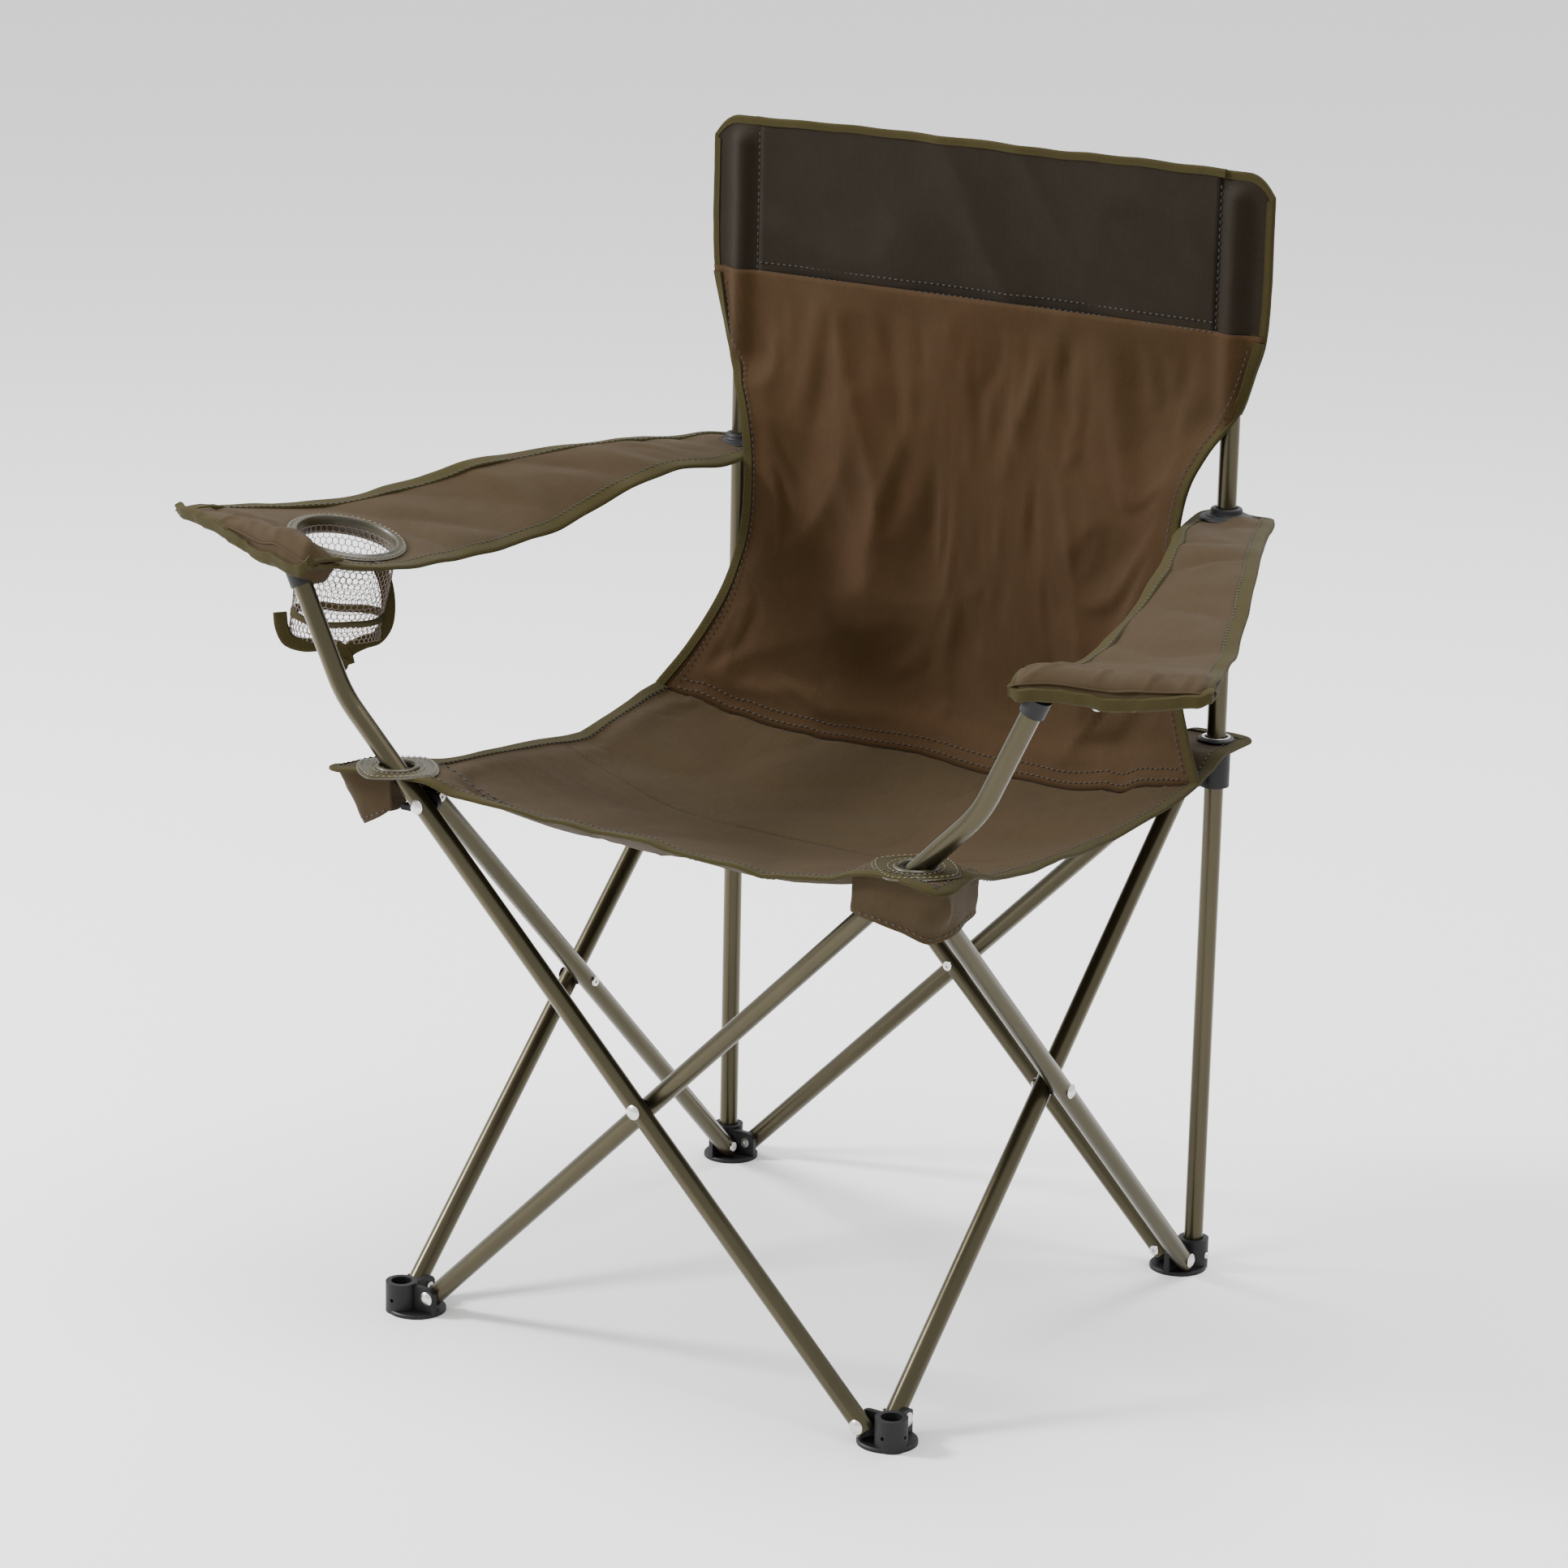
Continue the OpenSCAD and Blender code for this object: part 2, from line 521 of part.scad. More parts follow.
centred() side(0) bracket();  // bracket_right
centred() front_ring(-1);  // seat_ring_front_left
centred() front_ring(1);  // seat_ring_front_right
centred() rear_ring(-1);  // seat_ring_rear_left
centred() rear_ring(1);  // seat_ring_rear_right
centred() patch(-1);  // seat_patch_left
centred() patch(1);  // seat_patch_right
centred() corner_flap(-1);  // corner_flap_left
centred() corner_flap(1);  // corner_flap_right
centred() arm_grommet(-1);  // arm_grommet_left
centred() arm_grommet(1);  // arm_grommet_right
centred() seat_front_half();
centred() seat_rear_half();
centred() back_panel();
centred() back_band();
centred() armrest_left();
centred() armrest_right();
centred() arm_hood(-1);  // arm_hood_left
centred() arm_hood(1);  // arm_hood_right
centred() cup_ring();
centred() cup_bag();
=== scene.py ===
"""Folding camp chair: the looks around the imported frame. Blender 4.5, metres, the chair faces -Y."""

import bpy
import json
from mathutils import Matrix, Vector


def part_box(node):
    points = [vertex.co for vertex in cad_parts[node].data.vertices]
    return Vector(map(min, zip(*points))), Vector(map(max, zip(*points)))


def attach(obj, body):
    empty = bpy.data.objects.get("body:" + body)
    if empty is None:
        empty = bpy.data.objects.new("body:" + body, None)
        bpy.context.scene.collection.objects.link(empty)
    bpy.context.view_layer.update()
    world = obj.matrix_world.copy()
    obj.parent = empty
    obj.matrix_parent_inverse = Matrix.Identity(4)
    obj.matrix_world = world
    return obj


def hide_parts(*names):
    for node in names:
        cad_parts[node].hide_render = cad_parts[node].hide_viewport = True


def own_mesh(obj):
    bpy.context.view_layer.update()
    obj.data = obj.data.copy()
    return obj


bl_info = {
    "name": "Folding Camp Chair",
    "version": (1, 0, 0),
    "blender": (4, 5, 0),
    "location": "View3D > Sidebar > Camp Chair",
    "description": "Sews the seat, back, armrests and cup holder of a folding camp chair onto its frame",
    "category": "Object",
}

import json
import math

import bmesh
import bpy
import numpy as np
from mathutils import Matrix, Vector, noise
from mathutils.bvhtree import BVHTree

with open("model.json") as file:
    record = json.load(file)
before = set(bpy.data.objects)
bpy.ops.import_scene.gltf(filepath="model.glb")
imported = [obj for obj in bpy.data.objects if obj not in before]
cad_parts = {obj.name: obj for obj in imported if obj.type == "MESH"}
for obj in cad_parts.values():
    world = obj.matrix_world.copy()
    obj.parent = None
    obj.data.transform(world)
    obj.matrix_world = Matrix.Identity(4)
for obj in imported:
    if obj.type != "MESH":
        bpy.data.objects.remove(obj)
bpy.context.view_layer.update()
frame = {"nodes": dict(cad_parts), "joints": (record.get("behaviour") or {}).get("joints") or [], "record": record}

# ---------- places taken from the frame ----------

# The chair is modelled around the middle of its four feet, which lies this far from the frame's origin.
low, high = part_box("post_right")
ORIGIN = Vector((0, (low.y + high.y - low.x - high.x) / 2, 0))


def box(node):
    """The low and high corners of a CAD node, from the middle of the feet."""
    return [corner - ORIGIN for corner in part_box(node)]


def middle(node):
    """The middle of a CAD node's box."""
    return (box(node)[0] + box(node)[1]) / 2


def follow(piece, body, axis=None, anchor=None, keep=None):
    """Moves a piece to the frame's origin and makes it follow a body."""
    piece.data.transform(Matrix.Translation(ORIGIN))
    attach(piece, body)
    if axis is not None:
        tuple(Vector(anchor) + ORIGIN)
        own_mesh(piece)


PIVOT = {j["name"]: Vector(j["pos_m"]) - ORIGIN for j in frame["joints"] if "pos_m" in j}
POST = middle("post_right")
POST_X, POST_Y = POST.x, POST.y
TUBE_R = (box("post_right")[1].x - box("post_right")[0].x) / 2
SEAT_Z = PIVOT["seat_corner_right_turn"].z
RING = {side: PIVOT["seat_corner_%s_turn" % side] for side in ("left", "right")}
SEAT_FRONT = box("seat_front_half")[0].y
SEAT_REAR = box("seat_rear_half")[1].y
BACK_TOP = box("back_band")[1].z
BAND_LOW = box("back_band")[0].z
ARM_REAR_Z = box("arm_grommet_right")[0].z + 0.004
ARM_TOP = {side: PIVOT["armrest_%s_turn" % side] for side in ("left", "right")}
CUP = middle("cup_ring")
SIGN = {"left": -1, "right": 1}

# how much of its width is left of a piece when the chair is folded
KEEP_REAR = 0.265
KEEP_FRONT = 0.179
KEEP_ARM = 0.12


# ---------- sizes and colours that a user would change ----------

TAPE_WIDTH = 0.0125      # of the tape whose profile TAPE_PROFILE is


def colour(name, description, default):
    """A colour property, linear RGB."""
    return bpy.props.FloatVectorProperty(
        name=name, description=description, default=default, subtype="COLOR", size=3, min=0, max=1
    )


def length(name, description, default):
    """A length property in metres."""
    return bpy.props.FloatProperty(
        name=name, description=description, default=default, min=0, unit="LENGTH", subtype="DISTANCE"
    )


class CHAIR_PG_cloth(bpy.types.PropertyGroup):
    """Sizes of the sewn cloth."""

    thickness: length("Cloth thickness", "Thickness of the cloth, with its hem", 0.0011)
    tape: length("Tape width", "How far the binding tape reaches in from an edge", TAPE_WIDTH)
    weave: length("Weave pitch", "Distance between two threads of the cloth", 0.0013)
    stitch: length("Stitch length", "Length of one stitch", 0.0036)
    sleeve: length("Sleeve width", "Width of the sleeves around the rear posts", 0.050)
    net: length("Net cell", "Width of a cell of the cup holder's net", 0.0062)


class CHAIR_PG_colours(bpy.types.PropertyGroup):
    """Colours of the chair."""

    seat: colour("Seat", "Cloth of the seat and armrests", (0.0310, 0.0192, 0.0068))
    back: colour("Back", "Cloth of the backrest", (0.0310, 0.0158, 0.0038))
    band: colour("Band", "Cloth of the band at the top of the backrest", (0.0092, 0.0056, 0.0019))
    tape: colour("Tape", "Binding tape along the edges", (0.0250, 0.0195, 0.0036))
    thread: colour("Thread", "Sewing thread", (0.006, 0.0045, 0.002))
    paint: colour("Paint", "Enamel of the steel tubes", (0.056, 0.048, 0.026))
    net: colour("Net", "Net of the cup holder", (0.085, 0.050, 0.034))
    floor: colour("Floor", "Floor and surroundings", (0.93, 0.93, 0.93))


def cloth_sizes():
    return bpy.context.scene.chair_cloth


def colours():
    return bpy.context.scene.chair_colours


# ---------- shader maths ----------


class Value:
    """A node socket that can be used in a Python expression."""

    def __init__(self, finish, socket):
        self.finish, self.socket = finish, socket

    def math(self, operation, *others):
        return self.finish.node("ShaderNodeMath", {"operation": operation}, [self, *others])

    def __add__(self, other):
        return self.math("ADD", other)

    def __mul__(self, other):
        return self.math("MULTIPLY", other)

    def __sub__(self, other):
        return self.math("SUBTRACT", other)

    def __rsub__(self, other):
        return self.math("MULTIPLY", -1) + other

    def __truediv__(self, other):
        return self.math("DIVIDE", other)

    __radd__ = __add__
    __rmul__ = __mul__

    def sine(self):
        return self.math("SINE")


class Finish:
    """A material and the nodes that make it."""

    def __init__(self, name):
        self.material = bpy.data.materials.new(name)
        self.material.use_nodes = True
        self.tree = self.material.node_tree
        self.shader = self.tree.nodes["Principled BSDF"]

    def node(self, kind, settings=None, inputs=(), output=0):
        """Adds a node: its settings first, then its sockets' values or links, by order or by name."""
        made = self.tree.nodes.new(kind)
        for name, value in (settings or {}).items():
            setattr(made, name, value)
        named = inputs.items() if isinstance(inputs, dict) else enumerate(inputs)
        for key, value in named:
            self.feed(made.inputs[key], value)
        return Value(self, made.outputs[output])

    def feed(self, socket, value):
        if isinstance(value, Value):
            self.tree.links.new(value.socket, socket)
        elif hasattr(value, "__len__") and len(value) == 3 and socket.type == "RGBA":
            socket.default_value = (*value, 1)
        else:
            socket.default_value = value

    def surface(self, **sockets):
        """Sets sockets of the main shader, by name with _ for a space."""
        for name, value in sockets.items():
            self.feed(self.shader.inputs[name.replace("_", " ")], value)
        return self.material

    def place(self, kind="Object"):
        return self.node("ShaderNodeTexCoord", output=("Generated", "Normal", "UV", "Object").index(kind))

    def axes(self, point):
        made = self.node("ShaderNodeSeparateXYZ", inputs=[point])
        return [Value(self, made.socket.node.outputs[i]) for i in range(3)]

    def clouds(self, scale, detail=3, point=None, stretch=None):
        """Soft noise from 0 to 1."""
        point = point or self.place()
        if stretch:
            point = self.node("ShaderNodeMapping", inputs={"Vector": point, "Scale": stretch})
        sockets = {"Vector": point, "Scale": scale, "Detail": detail, "Roughness": 0.55}
        return self.node("ShaderNodeTexNoise", inputs=sockets)

    def mixed(self, share, first, second):
        """A colour between two, by share."""
        made = self.tree.nodes.new("ShaderNodeMix")
        made.data_type = "RGBA"
        for k, value in ((0, share), (6, first), (7, second)):
            self.feed(made.inputs[k], value)
        return Value(self, made.outputs[2])

    def bump(self, height, distance, strength=1.0):
        sockets = {"Height": height, "Distance": distance, "Strength": strength}
        return self.node("ShaderNodeBump", inputs=sockets)


def shade(tone, factor):
    """A lighter or darker tone."""
    return tuple(min(1.0, c * factor) for c in tone)


def tinted(tone, *factors):
    """A tone with each channel scaled by a factor of its own."""
    return tuple(c * factor for c, factor in zip(tone, factors))


def woven(name, tone, warm, pitch, patches=0.5):
    """Plain-weave polyester: thread by thread relief, slubs, broad patches of a warmer tone, and a painted
    highlight on the thread crowns.
    """
    f = Finish(name)
    across, along, _ = f.axes(f.place("UV"))
    turn = 2 * math.pi / pitch
    weave = (across * turn).sine() * (along * turn).sine()
    slubs = f.clouds(420, 2, f.place("UV"), (1, 0.12, 1))
    broad = f.clouds(7, 3)
    fine = f.clouds(46, 4)
    worn = f.mixed((broad - 0.36) * 2.2 * patches, tone, warm)
    worn = f.mixed((fine - 0.3) * 0.55, worn, shade(tone, 0.74))
    # paler on the thread crowns as a painted highlight that follows the weave's relief; the paler slubs are the
    # yarn's own
    lit = f.mixed(weave * 0.16 + slubs * 0.42, worn, shade(tone, 1.75))
    relief = weave * 0.5 + slubs * 0.35 + fine * 0.6
    return f.surface(
        Base_Color=lit,
        Roughness=0.66 + fine * 0.16,
        Normal=f.bump(relief, 0.00028, 0.75),
        Sheen_Weight=0.03,
        Sheen_Roughness=0.5,
        Specular_IOR_Level=0.13,
    )


def seat_cloth():
    tone = tuple(colours().seat)
    return woven("seat_cloth", tone, tinted(tone, 1.06, 0.90, 0.80), cloth_sizes().weave, 0.35)


def back_cloth():
    tone = tuple(colours().back)
    return woven("back_cloth", tone, tinted(tone, 1.10, 0.78, 0.62), cloth_sizes().weave, 0.8)


def band_cloth():
    tone = tuple(colours().band)
    return woven("band_cloth", tone, tinted(tone, 0.82, 0.84, 0.86), cloth_sizes().weave, 0.6)


RIB_PITCH = 0.0017       # of the binding tape


def tape_cloth():
    """Binding tape: ribs across its length, with a slight twill slant, paler on the ribs as a painted highlight on
    their crowns.
    """
    f = Finish("tape_cloth")
    tone = tuple(colours().tape)
    along, across, _ = f.axes(f.place("UV"))
    ribs = ((along + across * 0.6) * (2 * math.pi / RIB_PITCH)).sine()
    fine = f.clouds(90, 4)
    broad = f.clouds(14, 2)
    body = f.mixed((broad - 0.3) * 1.1, shade(tone, 1.15), shade(tone, 0.72))
    # the ribs paler on their crowns: a painted highlight that follows their relief; the fine mottling is the
    # tape's own
    lit = f.mixed(ribs * 0.18 + fine * 0.5, body, shade(tone, 1.6))
    return f.surface(
        Base_Color=lit,
        Roughness=0.7 + fine * 0.15,
        Normal=f.bump(ribs * 0.5 + fine * 0.4, 0.0003, 0.8),
        Sheen_Weight=0.03,
        Specular_IOR_Level=0.13,
    )


def thread():
    """Sewing thread: two plies with a little fuzz."""
    f = Finish("thread")
    tone = tuple(colours().thread)
    fine = f.clouds(900, 2)
    return f.surface(
        Base_Color=f.mixed(fine, shade(tone, 0.7), shade(tone, 1.3)),
        Roughness=0.62 + fine * 0.2,
        Normal=f.bump(fine, 0.0001, 0.6),
        Sheen_Weight=0.2,
    )


def pale_thread():
    """Thread that shows on the vinyl."""
    f = Finish("pale_thread")
    fine = f.clouds(900, 2)
    return f.surface(
        Base_Color=f.mixed(fine, (0.10, 0.080, 0.036), (0.20, 0.165, 0.085)),
        Roughness=0.6 + fine * 0.2,
        Sheen_Weight=0.2,
    )


def vinyl():
    """Pressed vinyl of the corner patches and the cup ring."""
    f = Finish("vinyl")
    tone = shade(tuple(colours().tape), 0.95)
    grain = f.node(
        "ShaderNodeTexVoronoi", {"feature": "DISTANCE_TO_EDGE"}, {"Vector": f.place(), "Scale": 900.0}
    )
    broad = f.clouds(30, 3)
    lit = f.mixed(broad, shade(tone, 0.72), shade(tone, 1.25))
    return f.surface(
        Base_Color=lit,
        Roughness=0.36 + broad * 0.2,
        Normal=f.bump(grain, 0.0002, 0.35),
        Coat_Weight=0.12,
    )


def paint():
    """Olive enamel over round tube: gloss with a little orange peel and handling marks."""
    f = Finish("painted_tube")
    tone = tuple(colours().paint)
    peel = f.clouds(260, 2)
    marks = f.clouds(28, 5, stretch=(1, 1, 0.35))
    lit = f.mixed(marks, shade(tone, 0.82), shade(tone, 1.22))
    return f.surface(
        Base_Color=lit,
        Metallic=0.88,
        Roughness=0.24 + marks * 0.14,
        Normal=f.bump(peel, 0.00012, 0.25),
        Coat_Weight=0.15,
        Coat_Roughness=0.16,
    )


def black_plastic():
    """Moulded nylon: spark-eroded grain and slightly greyed, rubbed areas."""
    f = Finish("black_plastic")
    grain = f.clouds(1400, 2)
    rubbed = f.clouds(60, 4)
    return f.surface(
        Base_Color=f.mixed(rubbed, (0.0035, 0.0035, 0.004), (0.010, 0.010, 0.011)),
        Specular_IOR_Level=0.28,
        Roughness=0.44 + rubbed * 0.2,
        Normal=f.bump(grain, 0.0001, 0.5),
    )


def rivet_steel():
    """Zinc-plated rivets with a turned finish."""
    f = Finish("rivet_steel")
    worn = f.clouds(500, 4)
    return f.surface(
        Base_Color=f.mixed(worn, (0.52, 0.51, 0.48), (0.80, 0.79, 0.76)),
        Metallic=1.0,
        Roughness=0.22 + worn * 0.2,
        Normal=f.bump(worn, 0.0001, 0.4),
    )


def net_cord():
    """Knitted net of the cup holder."""
    f = Finish("mesh_cloth")
    tone = tuple(colours().net)
    fine = f.clouds(1200, 3)
    return f.surface(
        Base_Color=f.mixed(fine, shade(tone, 0.75), shade(tone, 1.5)),
        Roughness=0.6 + fine * 0.2,
        Normal=f.bump(fine, 0.0002, 0.6),
        Sheen_Weight=0.3,
    )


def floor_paint():
    """Pale matt floor."""
    f = Finish("floor")
    tone = tuple(colours().floor)
    soft = f.clouds(3, 2)
    return f.surface(Base_Color=f.mixed(soft, shade(tone, 0.99), tone), Roughness=0.9)


MAKERS = {
    "seat_cloth": seat_cloth,
    "back_cloth": back_cloth,
    "band_cloth": band_cloth,
    "tape_cloth": tape_cloth,
    "thread": thread,
    "pale_thread": pale_thread,
    "vinyl": vinyl,
    "painted_tube": paint,
    "black_plastic": black_plastic,
    "rivet_steel": rivet_steel,
    "mesh_cloth": net_cord,
    "floor": floor_paint,
}
FINISHES = {}


def finish(name):
    """The named material, made the first time it is asked for."""
    if name not in FINISHES:
        FINISHES[name] = MAKERS[name]()
    return FINISHES[name]


# ---------- modelling ----------

MERGE = 1e-6             # corners closer than this are one


def pick(*pieces):
    """Selects only these pieces, with the first one active."""
    if bpy.context.mode != "OBJECT":
        bpy.ops.object.mode_set(mode="OBJECT")
    bpy.ops.object.select_all(action="DESELECT")
    for piece in pieces:
        piece.select_set(True)
    if pieces:
        bpy.context.view_layer.objects.active = pieces[0]


def points_of(piece):
    """The mesh's points, one row each."""
    flat = np.zeros(len(piece.data.vertices) * 3)
    piece.data.vertices.foreach_get("co", flat)
    return flat.reshape(-1, 3)


def set_points(piece, points):
    piece.data.vertices.foreach_set("co", np.asarray(points, float).ravel())
    piece.data.update()


def modify(piece, kind, **settings):
    """Adds a modifier and applies it."""
    pick(piece)
    made = piece.modifiers.new(kind.lower(), kind)
    for name, value in settings.items():
        setattr(made, name, value)
    bpy.ops.object.modifier_apply(modifier=made.name)


def tidy(piece):
    """Merges doubles and turns the faces outwards."""
    pick(piece)
    bpy.ops.object.mode_set(mode="EDIT")
    bpy.ops.mesh.select_all(action="SELECT")
    bpy.ops.mesh.remove_doubles(threshold=MERGE)
    bpy.ops.mesh.normals_make_consistent(inside=False)
    bpy.ops.object.mode_set(mode="OBJECT")


def dress(piece, name, smooth=True):
    """Gives a piece one finish."""
    piece.data.materials.clear()
    piece.data.materials.append(finish(name))
    pick(piece)
    if smooth:
        bpy.ops.object.shade_smooth()
    return piece


def grid(name, across, along, place, size=(1.0, 1.0)):
    """A grid laid out by place(u, v), u and v from 0 to 1, with its UV map in metres of cloth."""
    pick()
    bpy.ops.mesh.primitive_grid_add(x_subdivisions=across, y_subdivisions=along, size=1, calc_uvs=True)
    piece = bpy.context.object
    piece.name = piece.data.name = name
    flat = points_of(piece) + 0.5
    set_points(piece, [place(u, v) for u, v, _ in flat])
    layer = piece.data.uv_layers.active.data
    uv = np.zeros(len(layer) * 2)
    layer.foreach_get("uv", uv)
    layer.foreach_set("uv", (uv.reshape(-1, 2) * size).ravel())
    return piece


def line(points, steps=24):
    """A smooth curve through the points, as a function of t from 0 to 1 by length."""
    p = [np.array(q, float) for q in points]
    p = [2 * p[0] - p[1], *p, 2 * p[-1] - p[-2]]
    run = []
    for a, b, c, d in zip(p, p[1:], p[2:], p[3:]):
        for k in range(steps):
            t = k / steps
            square, cube = 2 * a - 5 * b + 4 * c - d, 3 * b - 3 * c + d - a
            run.append(0.5 * (2 * b + (c - a) * t + square * t * t + cube * t**3))
    run.append(p[-2])
    run = np.array(run)
    reach = np.concatenate([[0], np.cumsum(np.linalg.norm(np.diff(run, axis=0), axis=1))])
    reach /= reach[-1]
    return lambda t: np.array([np.interp(t, reach, run[:, i]) for i in range(3)])


def unit(v):
    return v / max(np.linalg.norm(v), 1e-12)


def ease(t):
    """0 below 0, 1 above 1 and a soft step between."""
    t = min(1.0, max(0.0, t))
    return t * t * (3 - 2 * t)


def ripple(x, y, seed):
    """Soft noise around 0."""
    return noise.noise(Vector((x, y, seed)))


def fold_lines(x, y, seed, width=0.16):
    """Narrow ridges along the lines where soft noise crosses zero."""
    value = ripple(x, y, seed)
    return math.exp(-((value / width) ** 2))


# the tape's section: how far into the cloth, and height over it
TAPE_PROFILE = [
    (-0.0018, 0.0), (-0.0012, 0.0012), (0.0015, 0.0019), (0.006, 0.0017), (0.0118, 0.0019), (0.0126, 0.0010),
    (0.0126, -0.0010), (0.0118, -0.0019), (0.006, -0.0017), (0.0015, -0.0019), (-0.0012, -0.0012),
    (-0.0018, 0.0),
]


def evened(inward, rounds):
    """Directions along an open edge, smoothed between neighbours."""
    for _ in range(rounds):
        before, after = [inward[0], *inward], [*inward[1:], inward[-1]]
        inward = [unit(a + 2 * b + c) for a, b, c in zip(before, inward, after)]
    return inward


def tape(name, edge, inward, closed=False, wide=1.0, thick=1.0):
    """Binding tape folded over an edge: points along the edge and the unit directions into the cloth."""
    count = len(edge)
    share = cloth_sizes().tape / TAPE_WIDTH * wide
    edge, inward = np.array(edge), np.array(inward)
    before, after = np.roll(edge, 1, 0), np.roll(edge, -1, 0)
    if not closed:
        before[0], after[-1] = edge[0], edge[-1]
    normals = [unit(np.cross(unit(b - a), d)) for a, b, d in zip(before, after, inward)]
    reach = float(np.linalg.norm(np.diff(edge, axis=0), axis=1).sum())
    last = len(TAPE_PROFILE) - 1

    def place(u, v):
        k = round(u * (count if closed else count - 1)) % count
        step, rise = TAPE_PROFILE[round(v * last)]
        wave = 0.0004 * ripple(k * 0.21, 3.7, 1.3)
        return edge[k] + inward[k] * step * share + normals[k] * (rise * thick + wave)

    made = grid(name, count if closed else count - 1, last, place, (reach, 0.03))
    if not closed:
        cap_ends(made)
    tidy(made)
    dress(made, "tape_cloth")
    pick(made)
    bpy.ops.object.shade_smooth_by_angle(angle=math.radians(50))
    return made


def cap_ends(piece):
    """Merges the seam of a closed tube and fills its open ends."""
    pick(piece)
    bpy.ops.object.mode_set(mode="EDIT")
    bpy.ops.mesh.select_all(action="SELECT")
    bpy.ops.mesh.remove_doubles(threshold=MERGE)
    bpy.ops.mesh.select_all(action="DESELECT")
    bpy.ops.mesh.select_non_manifold()
    bpy.ops.mesh.fill_holes(sides=64)
    bpy.ops.object.mode_set(mode="OBJECT")


STITCH_SHAPE = (0.5, 0.17, 0.15)   # half of a stitch's length, width and height, for a length of 1


def stitches(name, points, normals, gap=0.55, size=None, lift=0.0006):
    """A row of stitches along points, lying on a surface with these normals."""
    size = size or cloth_sizes().stitch
    pick()
    bpy.ops.mesh.primitive_ico_sphere_add(subdivisions=1, radius=1)
    seed = bpy.context.object
    base = points_of(seed) * STITCH_SHAPE
    faces = [tuple(f.vertices) for f in seed.data.polygons]
    bpy.data.objects.remove(seed)
    points, normals = np.array(points), np.array(normals)
    reach = np.concatenate([[0], np.cumsum(np.linalg.norm(np.diff(points, axis=0), axis=1))])
    count = max(2, int(reach[-1] / (size * (1 + gap))))
    spots, sides = [], []

    def between(at, rows):
        return np.array([np.interp(at, reach, rows[:, i]) for i in range(3)])

    for k in range(count):
        at = (k + 0.5) / count * reach[-1]
        here, up = between(at, points), unit(between(at, normals))
        forward = unit(between(at + size / 2, points) - between(at - size / 2, points))
        side = unit(np.cross(up, forward))
        turn = np.array([forward, side, np.cross(forward, side)])
        spots.append((base * size) @ turn + here + up * lift)
        sides.extend(tuple(i + k * len(base) for i in f) for f in faces)
    mesh = bpy.data.meshes.new(name)
    mesh.from_pydata(np.concatenate(spots).tolist(), [], sides)
    made = bpy.data.objects.new(name, mesh)
    bpy.context.scene.collection.objects.link(made)
    mesh.uv_layers.new(name="UVMap")
    return dress(made, "thread")


def joined(name, *pieces):
    """Joins pieces into one, with each one's material."""
    pick(*pieces)
    if len(pieces) > 1:
        bpy.ops.object.join()
    piece = bpy.context.object
    piece.name = piece.data.name = name
    return piece


def cut(piece, name, y, keep_front):
    """A copy of a piece with only what is in front of y, or behind it."""
    pick(piece)
    bpy.ops.object.duplicate()
    copy = bpy.context.object
    copy.name = copy.data.name = name
    bpy.ops.object.mode_set(mode="EDIT")
    bpy.ops.mesh.select_all(action="SELECT")
    bpy.ops.mesh.bisect(
        plane_co=(0, y, 0), plane_no=(0, 1, 0), clear_outer=keep_front, clear_inner=not keep_front
    )
    bpy.ops.object.mode_set(mode="OBJECT")
    return copy


def thicken(piece, thickness=None):
    """Gives a sheet its thickness."""
    modify(piece, "SOLIDIFY", thickness=thickness or cloth_sizes().thickness, offset=0)
    return piece


def settle(piece, held, growth, frames=22, cap=0.012, stiff=0.6):
    """Lets a sheet that was cut a little too large crease between the places where it is held."""
    start = points_of(piece)
    group = piece.vertex_groups.new(name="held")
    for k, share in enumerate(held):
        if share > 0:
            group.add([k], float(share), "REPLACE")
    pick(piece)
    made = piece.modifiers.new("drape", "CLOTH")
    cloth = made.settings
    cloth.quality = 5
    cloth.mass = 0.25
    cloth.tension_stiffness = cloth.compression_stiffness = 18
    cloth.shear_stiffness = 6
    cloth.bending_stiffness = stiff
    cloth.vertex_group_mass = "held"
    cloth.shrink_min = cloth.shrink_max = -growth
    cloth.effector_weights.gravity = 0.35
    made.collision_settings.use_collision = False
    made.collision_settings.use_self_collision = False
    scene = bpy.context.scene
    made.point_cache.frame_start, made.point_cache.frame_end = 1, frames
    for k in range(1, frames + 1):
        scene.frame_set(k)
    bpy.ops.object.modifier_apply(modifier=made.name)
    scene.frame_set(1)
    moved = points_of(piece) - start
    far = np.linalg.norm(moved, axis=1, keepdims=True)
    moved *= cap * np.tanh(far / cap) / np.maximum(far, 1e-9)
    set_points(piece, start + moved)
    piece.vertex_groups.clear()
    return piece


# ---------- seat ----------

SEAT_LOW_Y = 0.035       # where the side edges hang lowest
SEAT_DIP = 0.032         # how far they hang there
SEAT_SAG = 0.032         # how far the middle hangs below them
FLAT_RIM = 0.036         # the cloth is level this far around each corner's ring


def side_z(y):
    """Height of the seat's side edge."""
    if y < SEAT_LOW_Y:
        rise = ((SEAT_LOW_Y - y) / (SEAT_LOW_Y - SEAT_FRONT)) ** 1.2
        return SEAT_Z - SEAT_DIP + (SEAT_DIP - 0.005) * rise
    return SEAT_Z - SEAT_DIP + SEAT_DIP * min(1, (y - SEAT_LOW_Y) / (POST_Y - SEAT_LOW_Y)) ** 1.2


def side_x(y):
    """Distance of the seat's side edge from the middle."""
    if y < SEAT_LOW_Y:
        return POST_X + 0.021 + 0.022 * ((SEAT_LOW_Y - y) / (SEAT_LOW_Y - SEAT_FRONT)) ** 1.2
    return POST_X + 0.021 + 0.008 * min(1, (y - SEAT_LOW_Y) / 0.1) - 0.006 * ease((y - 0.16) / 0.08)


